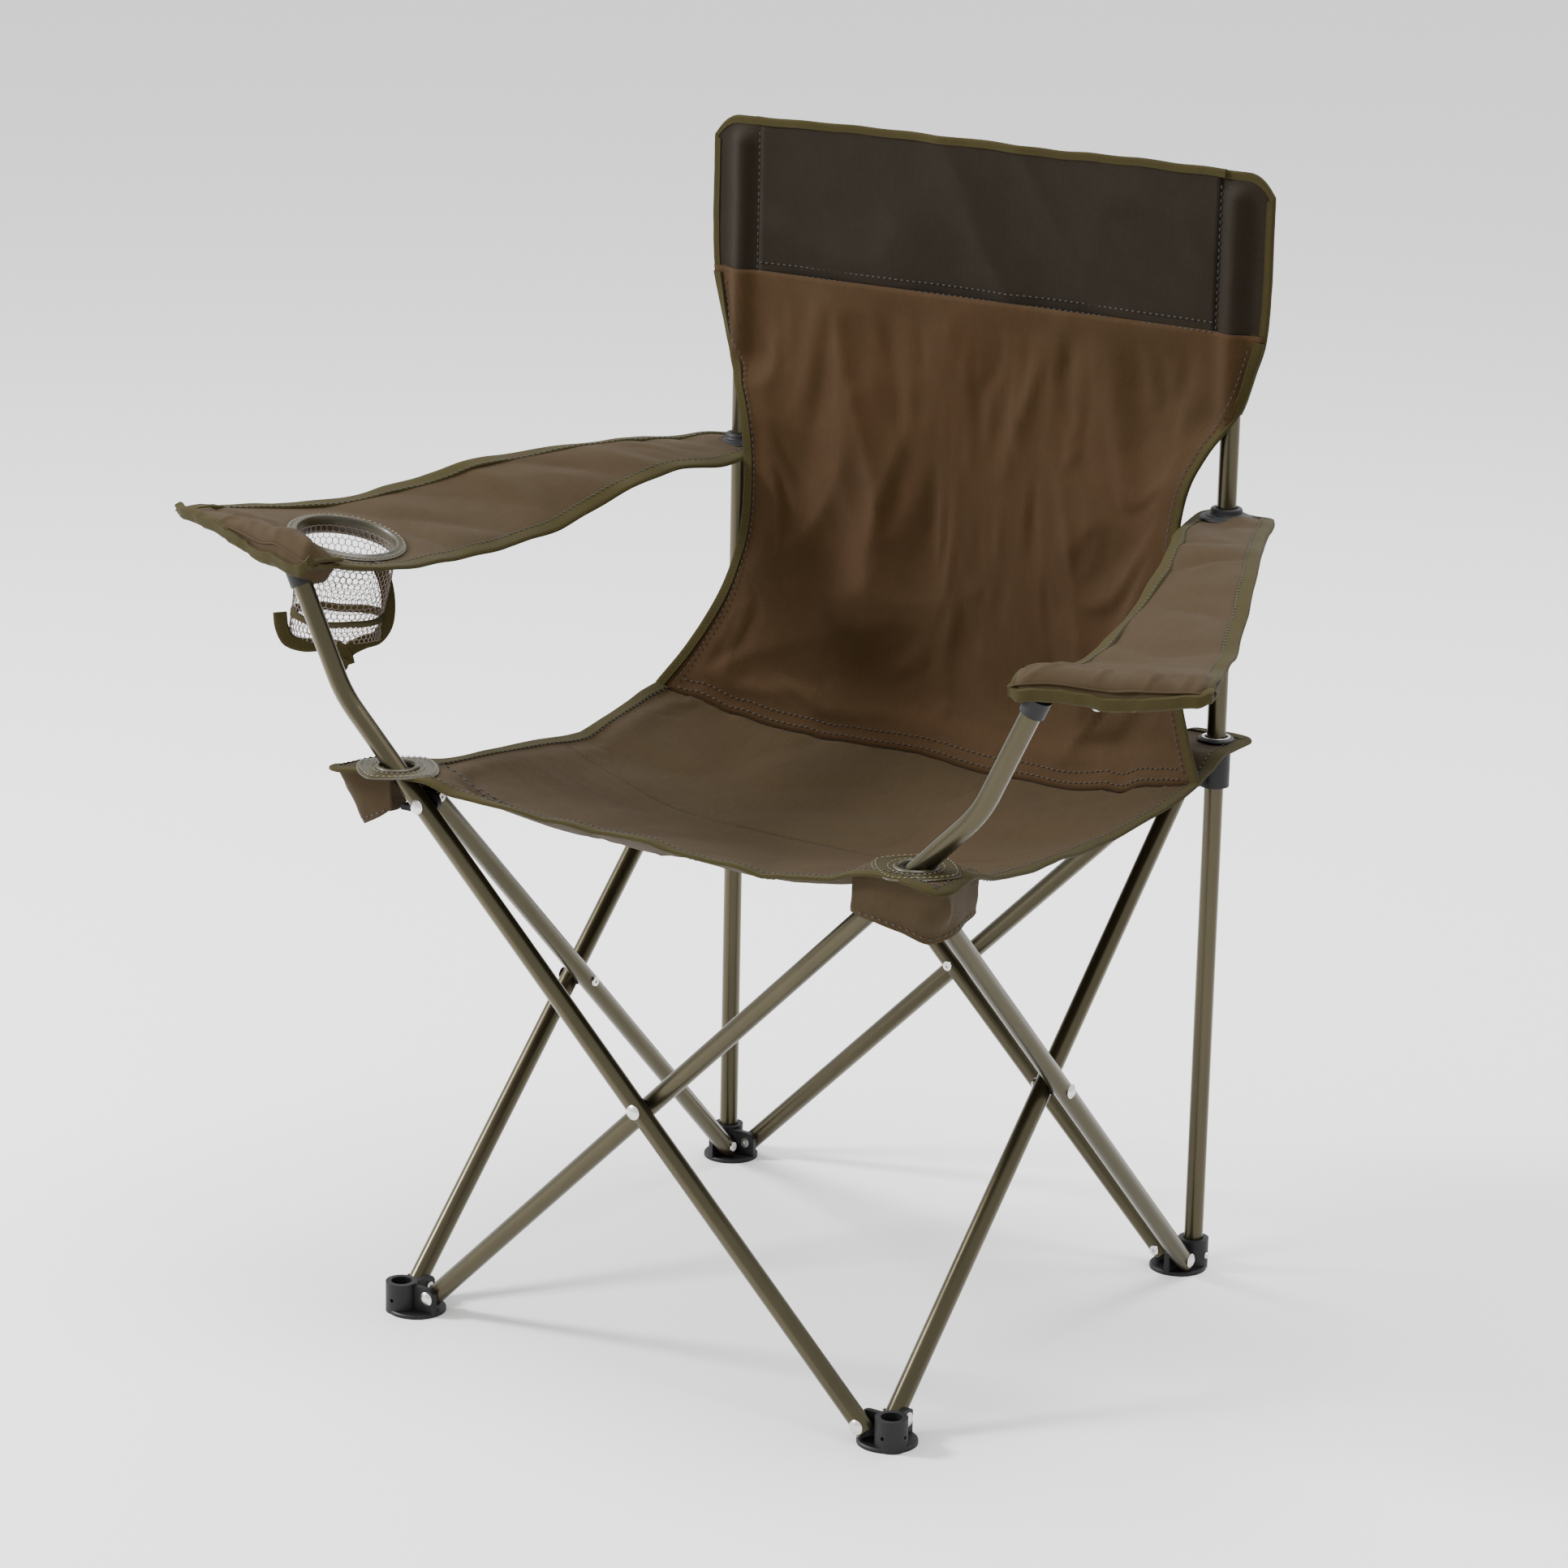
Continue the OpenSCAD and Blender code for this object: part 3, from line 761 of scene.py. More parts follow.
def corner_places():
    """The middles of the seat's four rings."""
    rear = [Vector((s * POST_X, POST_Y, SEAT_Z)) for s in (-1, 1)]
    return [RING["left"], RING["right"], *rear]


def crumple(x, z, seed):
    """Crisp valleys between soft plates of cloth."""
    x, z = x + 0.25 * ripple(x * 0.8, z * 0.8, seed + 5), z + 0.25 * ripple(x * 0.8, z * 0.8, seed + 9)
    return min(1, 2.6 * abs(ripple(x, z, seed))) - 0.45


def seat_z(x, y):
    """Height of the seat's cloth."""
    e = min(1.0, abs(x) / side_x(y))
    hang = 0.006 + SEAT_SAG * (1 - ((y - 0.06) / (0.06 - SEAT_FRONT)) ** 2)
    z = side_z(y) - hang * (1 - e * e)
    inside = 1 - e**6
    z += inside * (0.0042 * ripple(x * 6 + y * 3, y * 7, 4.2) + 0.0012 * ripple(x * 22, y * 22, 1.1))
    z += inside * 0.0070 * crumple(x * 5 + y * 4, y * 8 - x * 3, 7.7)
    z += inside * 0.0048 * crumple(x * 9 - y * 7, y * 7 + x * 4, 17.7)
    for corner in corner_places():
        dx, dy = x - corner.x, y - corner.y
        far = math.hypot(dx, dy)
        swing = math.atan2(dy, dx)
        pull = ease((far - 0.030) / 0.05) * math.exp(-far / 0.11)
        z += 0.0040 * pull * math.sin(9 * swing + 2.1 * corner.x * 10 + 1.5 * ripple(swing * 2, far * 9, 2.2))
        level = 1 - ease((far - FLAT_RIM) / 0.030)
        z += (SEAT_Z - z) * level
    return z


def round_corner(x, y, wide, low, high, front_r=0.026, rear_r=0.010):
    """Moves a point of a rectangle so that its corners become arcs."""
    edge, radius = (low, front_r) if y < 0 else (high, rear_r)
    a, b = (abs(x) - wide) / radius + 1, (abs(y) - abs(edge)) / radius + 1
    if a <= 0 or b <= 0:
        return x, y
    x_in, y_in = a * math.sqrt(max(0, 1 - b * b / 2)), b * math.sqrt(max(0, 1 - a * a / 2))
    x_out, y_out = wide + (x_in - 1) * radius, abs(edge) + (y_in - 1) * radius
    return math.copysign(x_out, x), math.copysign(y_out, y)


def seat_point(u, v):
    """u from the left edge to the right one, v from the front to the rear."""
    y = SEAT_FRONT + (SEAT_REAR - SEAT_FRONT) * v
    s = 2 * u - 1
    wide = side_x(y)
    x, y = round_corner(s * wide, y, wide, SEAT_FRONT, SEAT_REAR)
    rim = max(abs(s), abs(2 * v - 1)) ** 10
    if y < 0:
        y += 0.014 * (y / SEAT_FRONT) ** 4 * 4 * u * (1 - u)
        pull = math.exp(-((x / wide - math.copysign(1, x)) ** 2 / 0.030) - ((y - SEAT_FRONT) / 0.060) ** 2)
        x += (0.018 if x < 0 else 0.006) * pull * math.copysign(1, x)
        y -= (0.007 if x < 0 else 0.001) * pull
    x += 0.0016 * rim * ripple(x * 24, y * 24, 1.7)
    y += 0.0016 * rim * ripple(x * 26, y * 26, 8.8)
    return np.array([x, y, seat_z(x, y) + 0.0022 * rim * ripple(x * 20, y * 20, 5.5)])


def around(point, corners):
    """Points and inward directions along the border of a sheet, for its tape."""
    edge, inward = [], []
    for (u0, v0), (u1, v1), (du, dv), count in corners:
        for k in range(count):
            t = k / count
            u, v = u0 + (u1 - u0) * t, v0 + (v1 - v0) * t
            here = point(u, v)
            edge.append(here)
            inward.append(unit(point(min(1, max(0, u + du)), min(1, max(0, v + dv))) - here))
    return edge, inward


def seat_hem():
    """The tape all round the seat, with the points and directions that it follows."""
    step, count = 0.024, 110
    border = [
        ((0, 0), (1, 0), (0, step), count),
        ((1, 0), (1, 1), (-step, 0), count),
        ((1, 1), (0, 1), (0, -step), count),
        ((0, 1), (0, 0), (step, 0), count),
    ]
    edge, inward = around(seat_point, border)
    inward = np.array(inward)
    for _ in range(4):
        inward = (np.roll(inward, 1, 0) + 2 * inward + np.roll(inward, -1, 0)) / 4
    inward = [unit(d) for d in inward]
    return edge, inward, tape("seat_tape", edge, inward, closed=True, wide=0.75)


def rows_on(point, u0, v0, u1, v1, count=90):
    """Points and normals along a straight run of a sheet's own u and v."""
    where, up = [], []
    for k in range(count + 1):
        t = k / count
        u, v = u0 + (u1 - u0) * t, v0 + (v1 - v0) * t
        here = point(u, v)
        du = point(min(1, u + 0.002), v) - point(max(0, u - 0.002), v)
        dv = point(u, min(1, v + 0.002)) - point(u, max(0, v - 0.002))
        where.append(here)
        up.append(unit(np.cross(du, dv)))
    return np.array(where), np.array(up)


def hem_rows(name, edge, inward, depth, lift=0.0021):
    """Stitches along a taped edge, on both faces of the tape."""
    edge, inward = np.array(edge), np.array(inward)
    along = np.roll(edge, -1, 0) - np.roll(edge, 1, 0)
    up = np.array([unit(np.cross(unit(a), d)) for a, d in zip(along, inward)])
    run = edge + inward * depth
    return [
        stitches(name + "_upper", run, up, lift=lift),
        stitches(name + "_under", run, -up, lift=lift),
    ]


def make_seat():
    """The seat in two halves that meet at its middle, each with its part of the hem."""
    wide, deep = 2 * side_x(0), SEAT_REAR - SEAT_FRONT
    sheet = grid("seat", 112, 110, seat_point, (wide, deep))
    flat = points_of(sheet)
    held = []
    for x, y, _ in flat:
        hem = min(side_x(y) - abs(x), y - SEAT_FRONT, SEAT_REAR - y)
        ring = min(math.hypot(x - c.x, y - c.y) for c in corner_places())
        held.append(max(1 - ease((hem - 0.016) / 0.02), 1 - ease((ring - 0.045) / 0.03)))
    settle(sheet, held, 0.012)
    punch(sheet, [(c, 0.0125 if c.y > 0 else 0.0145) for c in corner_places()])
    dress(sheet, "seat_cloth")
    edge, inward, hem = seat_hem()
    rows = hem_rows("seat_hem_row", edge, inward, 0.0105)
    surface = seat_top["drop"] = height_of(sheet)
    for behind_edge in (0.052, 0.064):
        v = behind_edge / deep
        where, up = rows_on(seat_point, 0.10, v, 0.90, v)
        where = [surface(p) for p in where]
        rows.append(stitches("seat_row", where, up, size=0.0042, lift=0.0011))
    trim = joined("seat_trim", hem, *rows)
    for name, keep_front, body, anchor, keep in (
        ("front", True, "seat_front", RING["right"], KEEP_FRONT),
        ("rear", False, "seat_rear", POST, KEEP_REAR),
    ):
        cloth = thicken(cut(sheet, "seat_cloth_" + name, 0, keep_front))
        edging = cut(trim, "seat_trim_" + name, 0, keep_front)
        for piece, slot in ((cloth, "seat_cloth"), (edging, "seat_cloth")):
            follow(piece, body, (1, 0, 0), (anchor.x, 0, 0), keep)
        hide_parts("seat_%s_half" % name)
        deep / 2
        ["seat_ring_%s_%s" % (name, side) for side in SIGN]
    bpy.data.objects.remove(sheet)
    bpy.data.objects.remove(trim)


seat_top = {}


def height_of(sheet):
    """A function that drops a point onto a sheet from above."""
    tree = BVHTree.FromObject(sheet, bpy.context.evaluated_depsgraph_get())

    def drop(p):
        hit = tree.ray_cast(Vector((p[0], p[1], p[2] + 0.05)), Vector((0, 0, -1)), 0.1)[0]
        return np.array(hit) if hit else np.array(p)

    return drop


def punch(sheet, holes):
    """Takes round holes out of a flat-lying sheet and rounds their rims."""
    made = bmesh.new()
    made.from_mesh(sheet.data)
    for place, radius in holes:
        inside = [v for v in made.verts if math.hypot(v.co.x - place.x, v.co.y - place.y) < radius]
        bmesh.ops.delete(made, geom=inside, context="VERTS")
        for v in made.verts:
            if v.is_boundary:
                dx, dy = v.co.x - place.x, v.co.y - place.y
                far = math.hypot(dx, dy)
                if far < radius * 1.8:
                    v.co.x, v.co.y = place.x + dx / far * radius, place.y + dy / far * radius
    made.to_mesh(sheet.data)
    made.free()


# ---------- backrest ----------

# right edge of the backrest, from its top corner to the seam on the seat: x, y, z
BACK_EDGE = [
    (0.2700, 0.236, 0.925), (0.2705, 0.236, 0.855), (0.268, 0.236, 0.805), (0.260, 0.234, 0.773),
    (0.250, 0.228, 0.741), (0.233, 0.219, 0.712), (0.219, 0.210, 0.680), (0.213, 0.207, 0.645),
    (0.212, 0.205, 0.605), (0.215, 0.200, 0.570), (0.226, 0.190, 0.530), (0.246, 0.174, 0.487),
    (0.268, 0.158, 0.452),
]
SLEEVE_LOW = BAND_LOW - 0.066
BELLY = 0.034            # how far the cloth bellies back at the seam on the seat
WRAP = TUBE_R + 0.0012   # from a post's middle to its sleeve


def by_height(points):
    """x and y of a curve at a height."""
    curve = line(points)
    run = np.array([curve(t) for t in np.linspace(1, 0, 300)])
    return lambda z: (np.interp(z, run[:, 2], run[:, 0]), np.interp(z, run[:, 2], run[:, 1]))


back_edge = by_height(BACK_EDGE)


def sleeve_bulge(x):
    """Half the thickness of a sleeve at x."""
    far = (abs(x) - POST_X) / 0.0095
    return 0.0011 + (WRAP - 0.0008) * math.exp(-far * far)


def seam_z(s):
    """Height of the seam between back and seat, s from -1 to 1."""
    x, y = seam_xy(s)
    return seat_top["drop"](np.array([x, y, seat_z(x, y)]))[2] + 0.0002


def seam_xy(s):
    edge = BACK_EDGE[-1]
    return s * edge[0], edge[1] + BELLY * (1 - s * s)


def back_creases(x, z, s, v):
    """How far the cloth stands back, with the long folds that gravity and the seat pull into it."""
    open_cloth = (1 - s**6) * ease(v / 0.10) * (0.06 + 0.94 * ease((1 - v) / 0.16))
    low = 1 - v
    fan = x * (8.2 - 3.4 * low)
    folds = 0.0150 * ripple(fan * 0.8, z * 2.6 + x * 1.6, 3.3)
    folds += 0.0125 * crumple(fan * 0.95 + z * 3.2, z * 3.4 - x * 2.0, 12.4)
    folds += 0.0100 * crumple(fan * 1.3 - z * 4.0, z * 4.2 + x * 2.4, 21.7)
    folds += 0.0034 * crumple(fan * 2.6 + z * 3, z * 9.5, 31.1)
    fine = 0.0009 * ripple(x * 26, z * 18, 6.0) + 0.0005 * ripple(x * 55, z * 40, 2.0)
    return open_cloth * folds + (0.35 + 0.65 * open_cloth) * fine


def back_point(u, v):
    """u from the left edge to the right one, v from the seam on the seat to the band."""
    s = 2 * u - 1
    z_side = BACK_EDGE[-1][2] + (BAND_LOW - BACK_EDGE[-1][2]) * v
    wide, y = back_edge(z_side)
    x = s * wide
    z = z_side + (seam_z(s) - BACK_EDGE[-1][2]) * (1 - v)
    belly = BELLY * min(1, max(0, (SLEEVE_LOW - z_side) / (SLEEVE_LOW - BACK_EDGE[-1][2]))) ** 0.8
    y += belly * (1 - s * s) + back_creases(x, z, s, v)
    y -= 0.004 * max(0, 1 - v / 0.055) ** 2 * (1 - s**8)
    on_post = ease((z_side - SLEEVE_LOW + 0.03) / 0.03)
    y = y + on_post * (POST_Y - sleeve_bulge(x) - 0.0016 - y) * ease((abs(x) - POST_X + 0.045) / 0.02)
    return np.array([x, y, z])


def top_z(x):
    """Height of the top edge."""
    drop = 0.020 * max(0, (abs(x) - 0.244) / 0.027) ** 2.2
    return BACK_TOP - 0.0008 - drop + 0.0022 * ripple(x * 9, 2.2, 7.7) + 0.0010 * ripple(x * 31, 0.2, 4.4)


def band_point(u, v):
    """The front of the band between its sleeves."""
    s = 2 * u - 1
    x = s * (POST_X - 0.017)
    low = BAND_LOW - 0.004 + 0.0015 * ripple(x * 8, 1.1, 1.1)
    z = low + (top_z(x) - low) * v
    y = POST_Y - 0.0022 + 0.005 * (1 - s * s)
    y += (1 - s**8) * (0.0032 * ripple(x * 7, z * 5, 8.3) + 0.0014 * ripple(x * 19, z * 12, 3.1))
    y += (1 - s**8) * 0.0050 * crumple(x * 7 + z * 4, z * 7, 5.9)
    return np.array([x, y, z])


def sleeve_point(sign):
    """The cloth around a post: u round it, v upwards."""

    def place(u, v):
        turn = 2 * math.pi * u
        z_flat = SLEEVE_LOW + (BACK_TOP - SLEEVE_LOW) * v
        out = back_edge(min(z_flat, 0.90))[0] - 0.0005
        mid, half = (out + POST_X - 0.018) / 2, (out - POST_X + 0.018) / 2
        x = mid + half * math.cos(turn)
        z = SLEEVE_LOW + (top_z(x) - 0.001 - SLEEVE_LOW) * v
        closing = ease((top_z(x) - 0.006 - z) / 0.016)
        bulge = 0.0006 + (sleeve_bulge(x) - 0.0006) * closing
        soft = 0.0012 * ripple(x * 30, z * 14, 3.0 + sign) * bulge / WRAP
        y = POST_Y + (bulge + soft * closing) * math.tanh(2.5 * math.sin(turn)) / math.tanh(2.5)
        return np.array([sign * x, y, z])

    return place


def paint_by_height(piece, z, above, below):
    """Two finishes on one piece, with the change at height z."""
    piece.data.materials.clear()
    for name in (above, below):
        piece.data.materials.append(finish(name))
    for face in piece.data.polygons:
        face.material_index = 0 if face.center.z > z else 1
    return piece


def make_sleeve(side):
    sign = SIGN[side]
    place = sleeve_point(sign)
    cloth = grid("sleeve_" + side, 40, 60, place, (0.12, BACK_TOP - SLEEVE_LOW))
    tidy(cloth)
    thicken(cloth)
    dress(cloth, "band_cloth")
    paint_by_height(cloth, BAND_LOW, "band_cloth", "back_cloth")
    steps = np.linspace(1, 0, 70)
    side_edge = [place(0, v) for v in steps]
    top_edge = [place(0.5 - 0.5 * t, 1) for t in np.linspace(0, 1, 16)][:-1]
    edge = top_edge + side_edge
    inward = [np.array([0, 0, -1.0])] * len(top_edge) + [np.array([-sign, 0, 0.0])] * len(side_edge)
    pieces = [tape("sleeve_tape_" + side, edge, evened(inward, 3), wide=0.5, thick=1.2)]
    for inset in (0.002, 0.010):
        for front in (-1, 1):
            run = [
                (sign * (POST_X - 0.018 + inset), POST_Y + front * 0.0022, z)
                for z in np.linspace(BAND_LOW, BACK_TOP - 0.012, 30)
            ]
            pieces.append(stitches("sleeve_row_" + side, run, [(0, front, 0)] * 30, lift=0.0006))
    trim = joined("sleeve_trim_" + side, *pieces)
    body = {"left": "rear_left", "right": "base"}[side]
    for piece in (cloth, trim):
        follow(piece, body)


def make_back():
    """The panel, the band over it and the two sleeves."""
    tall = BAND_LOW - BACK_EDGE[-1][2]

    def facing(u, v):
        return back_point(1 - u, v)

    panel = grid("back_panel_cloth", 104, 84, facing, (0.5, tall))
    held = []
    for x, y, z in points_of(panel):
        wide = back_edge(z)[0]
        hem = min(wide - abs(x), BAND_LOW - z, z - seam_z(min(1, max(-1, x / BACK_EDGE[-1][0]))))
        post = (1 - ease((POST_X - 0.03 - abs(x)) / 0.02)) * ease((z - SLEEVE_LOW + 0.04) / 0.03)
        held.append(max(1 - ease((hem - 0.014) / 0.02), post))
    settle(panel, held, 0.006)
    thicken(panel)
    dress(panel, "back_cloth")
    band = grid("back_band_cloth", 96, 30, lambda u, v: band_point(1 - u, v), (0.44, 0.13))
    thicken(band)
    dress(band, "band_cloth")

    pieces = []
    for sign in (-1, 1):
        rim = (sign + 1) / 2
        run = [back_point(rim, v) for v in np.linspace(0.985, 0.0, 110)]
        within = [back_point(rim - sign * 0.03, v) for v in np.linspace(0.985, 0.0, 110)]
        inward = [unit(b - a) for a, b in zip(run, within)]
        pieces.append(tape("back_tape", run, inward, wide=0.62))
        at = 0.5 - sign * 0.478
        rows, up = rows_on(facing, at, 0.02, at, 0.97)
        pieces += [stitches("back_hem_row", rows, up * face, lift=0.0022) for face in (-1, 1)]
    for v in (0.012, 0.032):
        rows, up = rows_on(facing, 0.03, v, 0.97, v)
        pieces.append(stitches("seam_row", rows, -up, lift=0.0012))
    trim = joined("back_panel_trim", *pieces)

    top = [band_point(u, 1) for u in np.linspace(-0.01, 1.01, 110)]
    pieces = [tape("top_tape", top, [np.array([0, 0, -1.0])] * 110, wide=0.5)]
    for rise in (0.003, 0.011):
        run = [band_point(u, 0) + (0, -0.0008, rise) for u in np.linspace(0, 1, 80)]
        pieces.append(stitches("band_row", run, [(0, -1, 0)] * 80, lift=0.0006))
    band_trim = joined("back_band_trim", *pieces)

    pairs = ((panel, "back_cloth"), (trim, "back_cloth"), (band, "band_cloth"), (band_trim, "band_cloth"))
    for piece, slot in pairs:
        follow(piece, "base", (1, 0, 0), (POST_X, 0, 0), KEEP_REAR)
    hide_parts("back_panel")
    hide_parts("back_band")
    for side in SIGN:
        make_sleeve(side)


# ---------- armrests ----------

# edges of the right armrest from rear to front: x, y, z
ARM_OUTER = [
    (0.270, 0.262, 0.650), (0.283, 0.236, 0.653), (0.302, 0.192, 0.654), (0.324, 0.143, 0.655),
    (0.346, 0.095, 0.655), (0.368, 0.048, 0.652), (0.388, 0.003, 0.644), (0.407, -0.043, 0.636),
    (0.426, -0.089, 0.631), (0.445, -0.135, 0.632), (0.465, -0.181, 0.636), (0.482, -0.226, 0.638),
]
ARM_INNER = [
    (0.215, 0.262, 0.650), (0.213, 0.236, 0.650), (0.219, 0.192, 0.643), (0.240, 0.143, 0.643),
    (0.256, 0.095, 0.633), (0.266, 0.048, 0.618), (0.273, 0.003, 0.608), (0.283, -0.043, 0.603),
    (0.290, -0.089, 0.602), (0.298, -0.135, 0.605), (0.309, -0.188, 0.612), (0.320, -0.238, 0.621),
]
arm_outer, arm_inner = line(ARM_OUTER), line(ARM_INNER)
CUP_ROLL = math.radians(12)
ARM_TIP_DOWN = 0.085     # how far the line that an armrest narrows along dips towards the front


def arm_run(side):
    """The line that an armrest narrows along as the chair folds, from its grommet to its front."""
    rear = Vector((SIGN[side] * POST_X, POST_Y, ARM_REAR_Z))
    return ARM_TOP[side] - rear - Vector((0, 0, ARM_TIP_DOWN))


def arm_point(side):
    """The armrest's cloth: u from rear to front, v from the inner edge to the outer one."""
    sign = SIGN[side]
    forward = abs(ARM_TOP[side].y) - abs(ARM_TOP["right"].y)

    def place(u, v):
        p = arm_inner(u) + (arm_outer(u) - arm_inner(u)) * v
        p[1] -= forward * ease((u - 0.5) / 0.5) * (1 - v)
        if side == "left":
            p[0] -= 0.012 * math.exp(-(((u - 0.86) / 0.09) ** 2)) * (1 - v)
        open_cloth = 4 * v * (1 - v) * ease(u / 0.12)
        seed = 4.0 * sign
        p[2] += open_cloth * (0.0035 + 0.0042 * ripple(p[1] * 13, p[0] * 4, seed))
        p[2] += open_cloth * 0.0034 * (fold_lines(p[1] * 9 + p[0] * 3, p[0] * 3.5, seed + 1, 0.12) - 0.3)
        p[2] += open_cloth * 0.0060 * crumple(p[1] * 17 + p[0] * 5, p[0] * 7, seed + 8)
        p[2] += 0.0009 * ripple(p[0] * 30, p[1] * 30, seed + 2)
        rim = abs(2 * v - 1) ** 8
        p[0] += 0.0022 * rim * ripple(p[1] * 16, v * 5, seed + 3)
        p[2] += 0.0026 * rim * ripple(p[1] * 21, v * 7, seed + 5)
        if side == "left":
            flat = CUP.z + math.tan(CUP_ROLL) * (p[0] + CUP.x)
            far = math.hypot(p[0] + CUP.x, p[1] - CUP.y)
            p[2] += (flat - p[2]) * (1 - ease((far - 0.050) / 0.018))
        p[0] *= sign
        return p

    return place


# the hood's section, from the top's rear edge round the lip to the underside: 0, depth behind the lip, height
hood_line = line([
    (0, 0.046, 0.0012), (0, 0.034, 0.0060), (0, 0.020, 0.0092), (0, 0.007, 0.0050), (0, 0.0, -0.0080),
    (0, 0.004, -0.0150), (0, 0.020, -0.0185), (0, 0.040, -0.0190),
])
HOOD_LOW = 0.62          # where on that line its bound lower edge is


def hood_point(side):
    """The pocket at an armrest's front: v from the inner end to the outer one, w round its lip."""
    arm = arm_point(side)

    def place(v, w):
        back, rise = hood_line(w)[1:]
        rim, behind = arm(1, v), arm(0.93, v)
        inwards = unit((behind - rim) * (1, 1, 0))
        ends = ease(min(v, 1 - v) / 0.07)
        if side == "left":
            shape = (0.1 + 1.1 * ease(v / 0.09)) * (1 - 0.82 * ease((v - 0.20) / 0.75))
            back *= 0.62
        else:
            shape = (0.55 + 0.45 * ends) * (1 - 0.30 * ease((v - 0.6) / 0.4))
        p = rim + inwards * (back + 0.004 * (1 - ends)) + np.array([0, 0, rise * shape])
        p[2] += 0.0016 * ripple(v * 9, w * 2.5, SIGN[side]) * ends
        p[1] += 0.0022 * ripple(v * 6.5, 0.5, SIGN[side] + 6) * (1 - w * 0.5)
        p[2] += 0.0030 * (fold_lines(v * 5 + w * 1.4, w * 2, 3 * SIGN[side], 0.10) - 0.3) * ends * (1 - w)
        return p

    return place


def make_hood(side):
    sign = SIGN[side]
    place = hood_point(side)
    flip = (lambda u: 1 - u) if side == "right" else (lambda u: u)
    cloth = grid("hood_" + side, 70, 34, lambda u, v: place(flip(u), v), (0.17, 0.09))
    thicken(cloth)
    dress(cloth, "seat_cloth")
    spots = np.linspace(0.0, 1.0, 90)
    rim = [place(t, HOOD_LOW) for t in spots]
    lip = [unit(place(t, HOOD_LOW - 0.10) - place(t, HOOD_LOW)) for t in spots]
    pieces = [tape("hood_tape_" + side, rim, lip, wide=0.75, thick=1.8)]
    for end in (0.012, 0.988):
        run = [place(end, w) for w in np.linspace(0.0, 0.93, 40)]
        into = [np.array([(1 if end < 0.5 else -1) * sign, 0, 0.0])] * 40
        pieces.append(tape("hood_end_" + side, run, into))
    return cloth, pieces


def snap(place):
    """A small domed rivet that faces down."""
    pick()
    bpy.ops.mesh.primitive_uv_sphere_add(segments=24, ring_count=12, radius=0.0042)
    made = bpy.context.object
    set_points(made, points_of(made) * (1, 1, 0.45) + np.array(place))
    return dress(made, "rivet_steel")


def make_arm(side):
    sign = SIGN[side]
    place = arm_point(side)
    flip = (lambda v: v) if side == "right" else (lambda v: 1 - v)
    cloth = grid("armrest_cloth_" + side, 34, 120, lambda u, v: place(1 - v, flip(u)), (0.13, 0.53))
    punch(cloth, [(Vector((sign * POST_X, POST_Y, 0)), 0.0125)])
    if side == "left":
        punch(cloth, [(CUP, 0.0425)])
    thicken(cloth)
    dress(cloth, "seat_cloth")

    def rim(v, steps=130):
        edge = [place(t, v) for t in np.linspace(0, 0.985, steps)]
        inner = [place(t, v + (0.2 if v < 0.5 else -0.2)) for t in np.linspace(0, 0.985, steps)]
        return edge, [unit(b - a) for a, b in zip(edge, inner)]

    outer, outer_in = rim(1)
    inner, inner_in = rim(0)
    back = [place(0, v) for v in np.linspace(0, 1, 14)][1:-1]
    back_in = [np.array([0, -1.0, 0])] * len(back)
    edge = inner[::-1] + back + outer
    inward = evened(inner_in[::-1] + back_in + outer_in, 4)
    pieces = [tape("arm_tape_" + side, edge, inward)]
    run = np.array(edge) + np.array(inward) * 0.0108
    along = np.gradient(run, axis=0)
    up = np.array([unit(np.cross(a, d)) for a, d in zip(along, inward)])
    pieces += [stitches("arm_row_" + side, run, up * face, lift=0.0021) for face in (-1, 1)]
    hood, hood_tapes = make_hood(side)
    pieces += hood_tapes
    under = hood_point(side)(0.42, 0.80)
    pieces.append(snap(under + (0, 0, -0.0012)))
    trim = joined("armrest_trim_" + side, *pieces)
    for piece in (cloth, trim):
        follow(piece, "armrest_" + side, arm_run(side), ARM_TOP[side], KEEP_ARM)
    follow(hood, "armrest_" + side)
    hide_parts("armrest_" + side)
    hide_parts("arm_hood_" + side)


# ---------- cup holder, patches, rings and flaps ----------


def turned(name, profile, place, finish_name, tilt=None, outline=None, around_count=72):
    """A ring with the closed profile (radius, height) around place; outline gives its outer radius."""
    last = len(profile)
    inner = min(r for r, _ in profile)
    outer = max(r for r, _ in profile)

    def put(u, v):
        turn = 2 * math.pi * u
        r, h = profile[round(v * last) % last]
        if outline:
            share = (r - inner) / (outer - inner)
            r = inner + share * (outline(turn) - inner)
        p = Vector((r * math.cos(turn), r * math.sin(turn), h))
        if tilt:
            p = tilt @ p
        return np.array(p + place)

    made = grid(name, around_count, last, put, (2 * math.pi * outer, 0.02))
    tidy(made)
    modify(made, "SUBSURF", levels=1, render_levels=1)
    return dress(made, finish_name)


def circle_row(name, radius, place, height, tilt=None, outline=None, size=None, count=120):
    """A ring of stitches."""
    points, up = [], []
    for k in range(count + 1):
        turn = 2 * math.pi * k / count
        r = outline(turn) * radius if outline else radius
        p = Vector((r * math.cos(turn), r * math.sin(turn), height))
        n = Vector((0, 0, 1))
        if tilt:
            p, n = tilt @ p, tilt @ n
        points.append(np.array(p + place))
        up.append(np.array(n))
    return stitches(name, points, up, size=size)


def diamond(turn):
    """Radius of a rounded square set cornerwise."""
    reach, power = 0.0385, 1.38
    return reach / (abs(math.cos(turn)) ** power + abs(math.sin(turn)) ** power) ** (1 / power)


